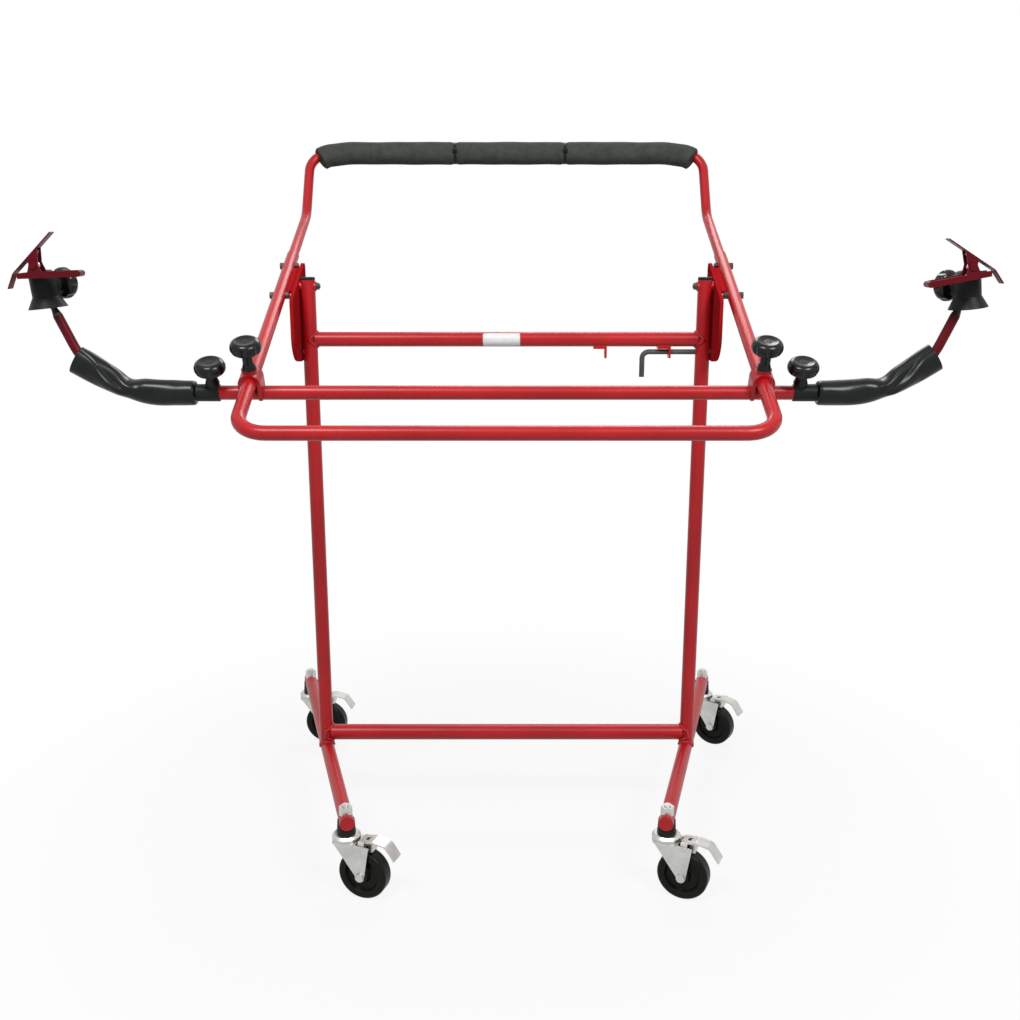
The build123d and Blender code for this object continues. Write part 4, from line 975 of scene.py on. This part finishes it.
class STAND_OT_label(Operator):
    """Blank label wrapped round the front of the upper crossbar"""

    bl_idname = "stand.label"
    bl_label = "Blank Label"

    ROWS = 24
    COLUMNS = 24
    LIFT = 0.00005
    THICK = 0.00012

    def execute(self, context):
        size = sizes()
        middle = (UPPER_BAR[0] + UPPER_BAR[1]) / 2
        radius = (UPPER_BAR[1].z - UPPER_BAR[0].z) / 2 + self.LIFT + self.THICK
        half_height = radius * size.label_wrap
        corner = size.label_corner
        verts = []
        for row in range(self.ROWS + 1):
            height = half_height * (2 * row / self.ROWS - 1)
            over = max(0.0, abs(height) - (half_height - corner))
            cut = corner - math.sqrt(max(0.0, corner * corner - over * over))
            left, right = size.label_left + cut, size.label_right - cut
            turn = height / radius
            for column in range(self.COLUMNS + 1):
                x = left + (right - left) * column / self.COLUMNS
                y, z = -radius * math.cos(turn), radius * math.sin(turn)
                verts.append(Vector((x, middle.y + y, middle.z + z)))
        across = self.COLUMNS + 1
        faces = [
            (r * across + c, r * across + c + 1, (r + 1) * across + c + 1, (r + 1) * across + c)
            for r in range(self.ROWS) for c in range(self.COLUMNS)
        ]
        label = mesh_object("blank_label", verts, faces, FINISHES["label"])
        label = thicken(label, self.THICK)
        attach(label, "base")
        return {"FINISHED"}


# Stage

class STAND_OT_stage(Operator):
    """Pale floor, soft studio light and the camera"""

    bl_idname = "stand.stage"
    bl_label = "Stage"

    FLOOR_REACH = 30.0
    FLOOR_ROUGHNESS = 0.9
    # Share of plain white over the floor's shade: near the stand, rising to 1 between two distances
    FLOOR_WHITE = 0.88
    FADE = (0.35, 1.10)
    SOFT_LIGHT = 0.10
    # Name, place, width and power
    LAMPS = (
        ("key", (-0.9, -1.7, 2.9), 0.9, 58.0),
        ("fill", (1.3, -1.8, 2.5), 0.9, 50.0),
        ("back", (0.3, 1.6, 2.4), 1.2, 24.0),
    )
    LAMP_TARGET = (0.0, 0.0, 0.6)
    LAMP_ASPECT = 0.7
    SENSOR_WIDTH = 36.0

    def seen(self, nodes, links):
        """1 where the camera sees a surface, straight or through a reflection or glass."""
        rays = nodes.new("ShaderNodeLightPath")
        total = rays.outputs["Is Camera Ray"]
        for kind in ("Is Glossy Ray", "Is Transmission Ray"):
            total = math_node(nodes, links, "MAXIMUM", total, rays.outputs[kind])
        return total

    def floor(self, tone):
        mesh = bpy.data.meshes.new("floor")
        reach = self.FLOOR_REACH
        corners = [(-reach, -reach, 0), (reach, -reach, 0), (reach, reach, 0), (-reach, reach, 0)]
        mesh.from_pydata(corners, [], [(0, 1, 2, 3)])
        material = bpy.data.materials.new("pale_floor")
        material.use_nodes = True
        nodes, links = material.node_tree.nodes, material.node_tree.links
        shader = nodes["Principled BSDF"]
        shader.inputs["Base Color"].default_value = (*tone, 1.0)
        shader.inputs["Roughness"].default_value = self.FLOOR_ROUGHNESS
        white = nodes.new("ShaderNodeEmission")
        white.inputs["Strength"].default_value = 1.0
        seen = self.seen(nodes, links)
        spot = nodes.new("ShaderNodeTexCoord")
        distance = nodes.new("ShaderNodeVectorMath")
        distance.operation = "LENGTH"
        links.new(spot.outputs["Object"], distance.inputs[0])
        fade = nodes.new("ShaderNodeMapRange")
        fade.interpolation_type = "SMOOTHSTEP"
        fade.inputs["From Min"].default_value = self.FADE[0]
        fade.inputs["From Max"].default_value = self.FADE[1]
        fade.inputs["To Min"].default_value = self.FLOOR_WHITE
        fade.inputs["To Max"].default_value = 1.0
        links.new(distance.outputs["Value"], fade.inputs["Value"])
        share = math_node(nodes, links, "MULTIPLY", seen, fade.outputs["Result"])
        mix = nodes.new("ShaderNodeMixShader")
        links.new(share, mix.inputs["Fac"])
        links.new(shader.outputs["BSDF"], mix.inputs[1])
        links.new(white.outputs["Emission"], mix.inputs[2])
        links.new(mix.outputs["Shader"], nodes["Material Output"].inputs["Surface"])
        mesh.materials.append(material)
        link(bpy.data.objects.new("floor", mesh))

    def world(self):
        world = bpy.data.worlds.new("studio")
        bpy.context.scene.world = world
        world.use_nodes = True
        nodes, links = world.node_tree.nodes, world.node_tree.links
        soft = nodes["Background"]
        soft.inputs["Color"].default_value = (1.0, 1.0, 1.0, 1.0)
        soft.inputs["Strength"].default_value = self.SOFT_LIGHT
        white = nodes.new("ShaderNodeBackground")
        white.inputs["Color"].default_value = (1.0, 1.0, 1.0, 1.0)
        white.inputs["Strength"].default_value = 1.0
        mix = nodes.new("ShaderNodeMixShader")
        links.new(self.seen(nodes, links), mix.inputs["Fac"])
        links.new(soft.outputs["Background"], mix.inputs[1])
        links.new(white.outputs["Background"], mix.inputs[2])
        links.new(mix.outputs["Shader"], nodes["World Output"].inputs["Surface"])

    def lamp(self, name, spot, width, power):
        light = bpy.data.lights.new(name, "AREA")
        light.shape = "RECTANGLE"
        light.size = width
        light.size_y = width * self.LAMP_ASPECT
        light.energy = power
        obj = link(bpy.data.objects.new(name, light))
        obj.location = spot
        way = Vector(self.LAMP_TARGET) - Vector(spot)
        obj.rotation_euler = way.to_track_quat("-Z", "Y").to_euler()

    def camera(self, stage):
        camera = bpy.data.cameras.new("camera")
        camera.sensor_width = self.SENSOR_WIDTH
        camera.lens = self.SENSOR_WIDTH * stage.focal_pixels / stage.frame_pixels
        camera.shift_x = (stage.frame_pixels / 2 - stage.centre_pixels) / stage.frame_pixels
        obj = link(bpy.data.objects.new("camera", camera))
        obj.location = (0.0, PIVOT.y - stage.camera_ahead, stage.camera_height)
        obj.rotation_euler = (math.pi / 2 - stage.camera_pitch, 0.0, 0.0)
        bpy.context.scene.camera = obj

    def execute(self, context):
        stage = context.scene.stand_stage
        self.floor(stage.floor)
        self.world()
        for lamp in self.LAMPS:
            self.lamp(*lamp)
        self.camera(stage)
        context.scene.view_settings.view_transform = "Standard"
        return {"FINISHED"}


OPERATORS = (
    STAND_OT_finish_frame,
    STAND_OT_foam_grip,
    STAND_OT_grip_ties,
    STAND_OT_arm_sleeves,
    STAND_OT_clamp_springs,
    STAND_OT_weld_beads,
    STAND_OT_label,
    STAND_OT_stage,
)


class STAND_PT_panel(Panel):
    """Pieces of the bumper stand"""

    bl_label = "Bumper Stand"
    bl_idname = "STAND_PT_panel"
    bl_space_type = "VIEW_3D"
    bl_region_type = "UI"
    bl_category = "Bumper Stand"

    def draw(self, context):
        for operator in OPERATORS:
            self.layout.operator(operator.bl_idname)


CLASSES = (StandSizes, StandColours, StandStage, *OPERATORS, STAND_PT_panel)


def register():
    for cls in CLASSES:
        bpy.utils.register_class(cls)
    bpy.types.Scene.stand_sizes = PointerProperty(type=StandSizes)
    bpy.types.Scene.stand_colours = PointerProperty(type=StandColours)
    bpy.types.Scene.stand_stage = PointerProperty(type=StandStage)


def unregister():
    del bpy.types.Scene.stand_stage
    del bpy.types.Scene.stand_colours
    del bpy.types.Scene.stand_sizes
    for cls in reversed(CLASSES):
        bpy.utils.unregister_class(cls)


def main():
    register()
    for operator in OPERATORS:
        group, name = operator.bl_idname.split(".")
        getattr(getattr(bpy.ops, group), name)()


if __name__ == "__main__":
    main()
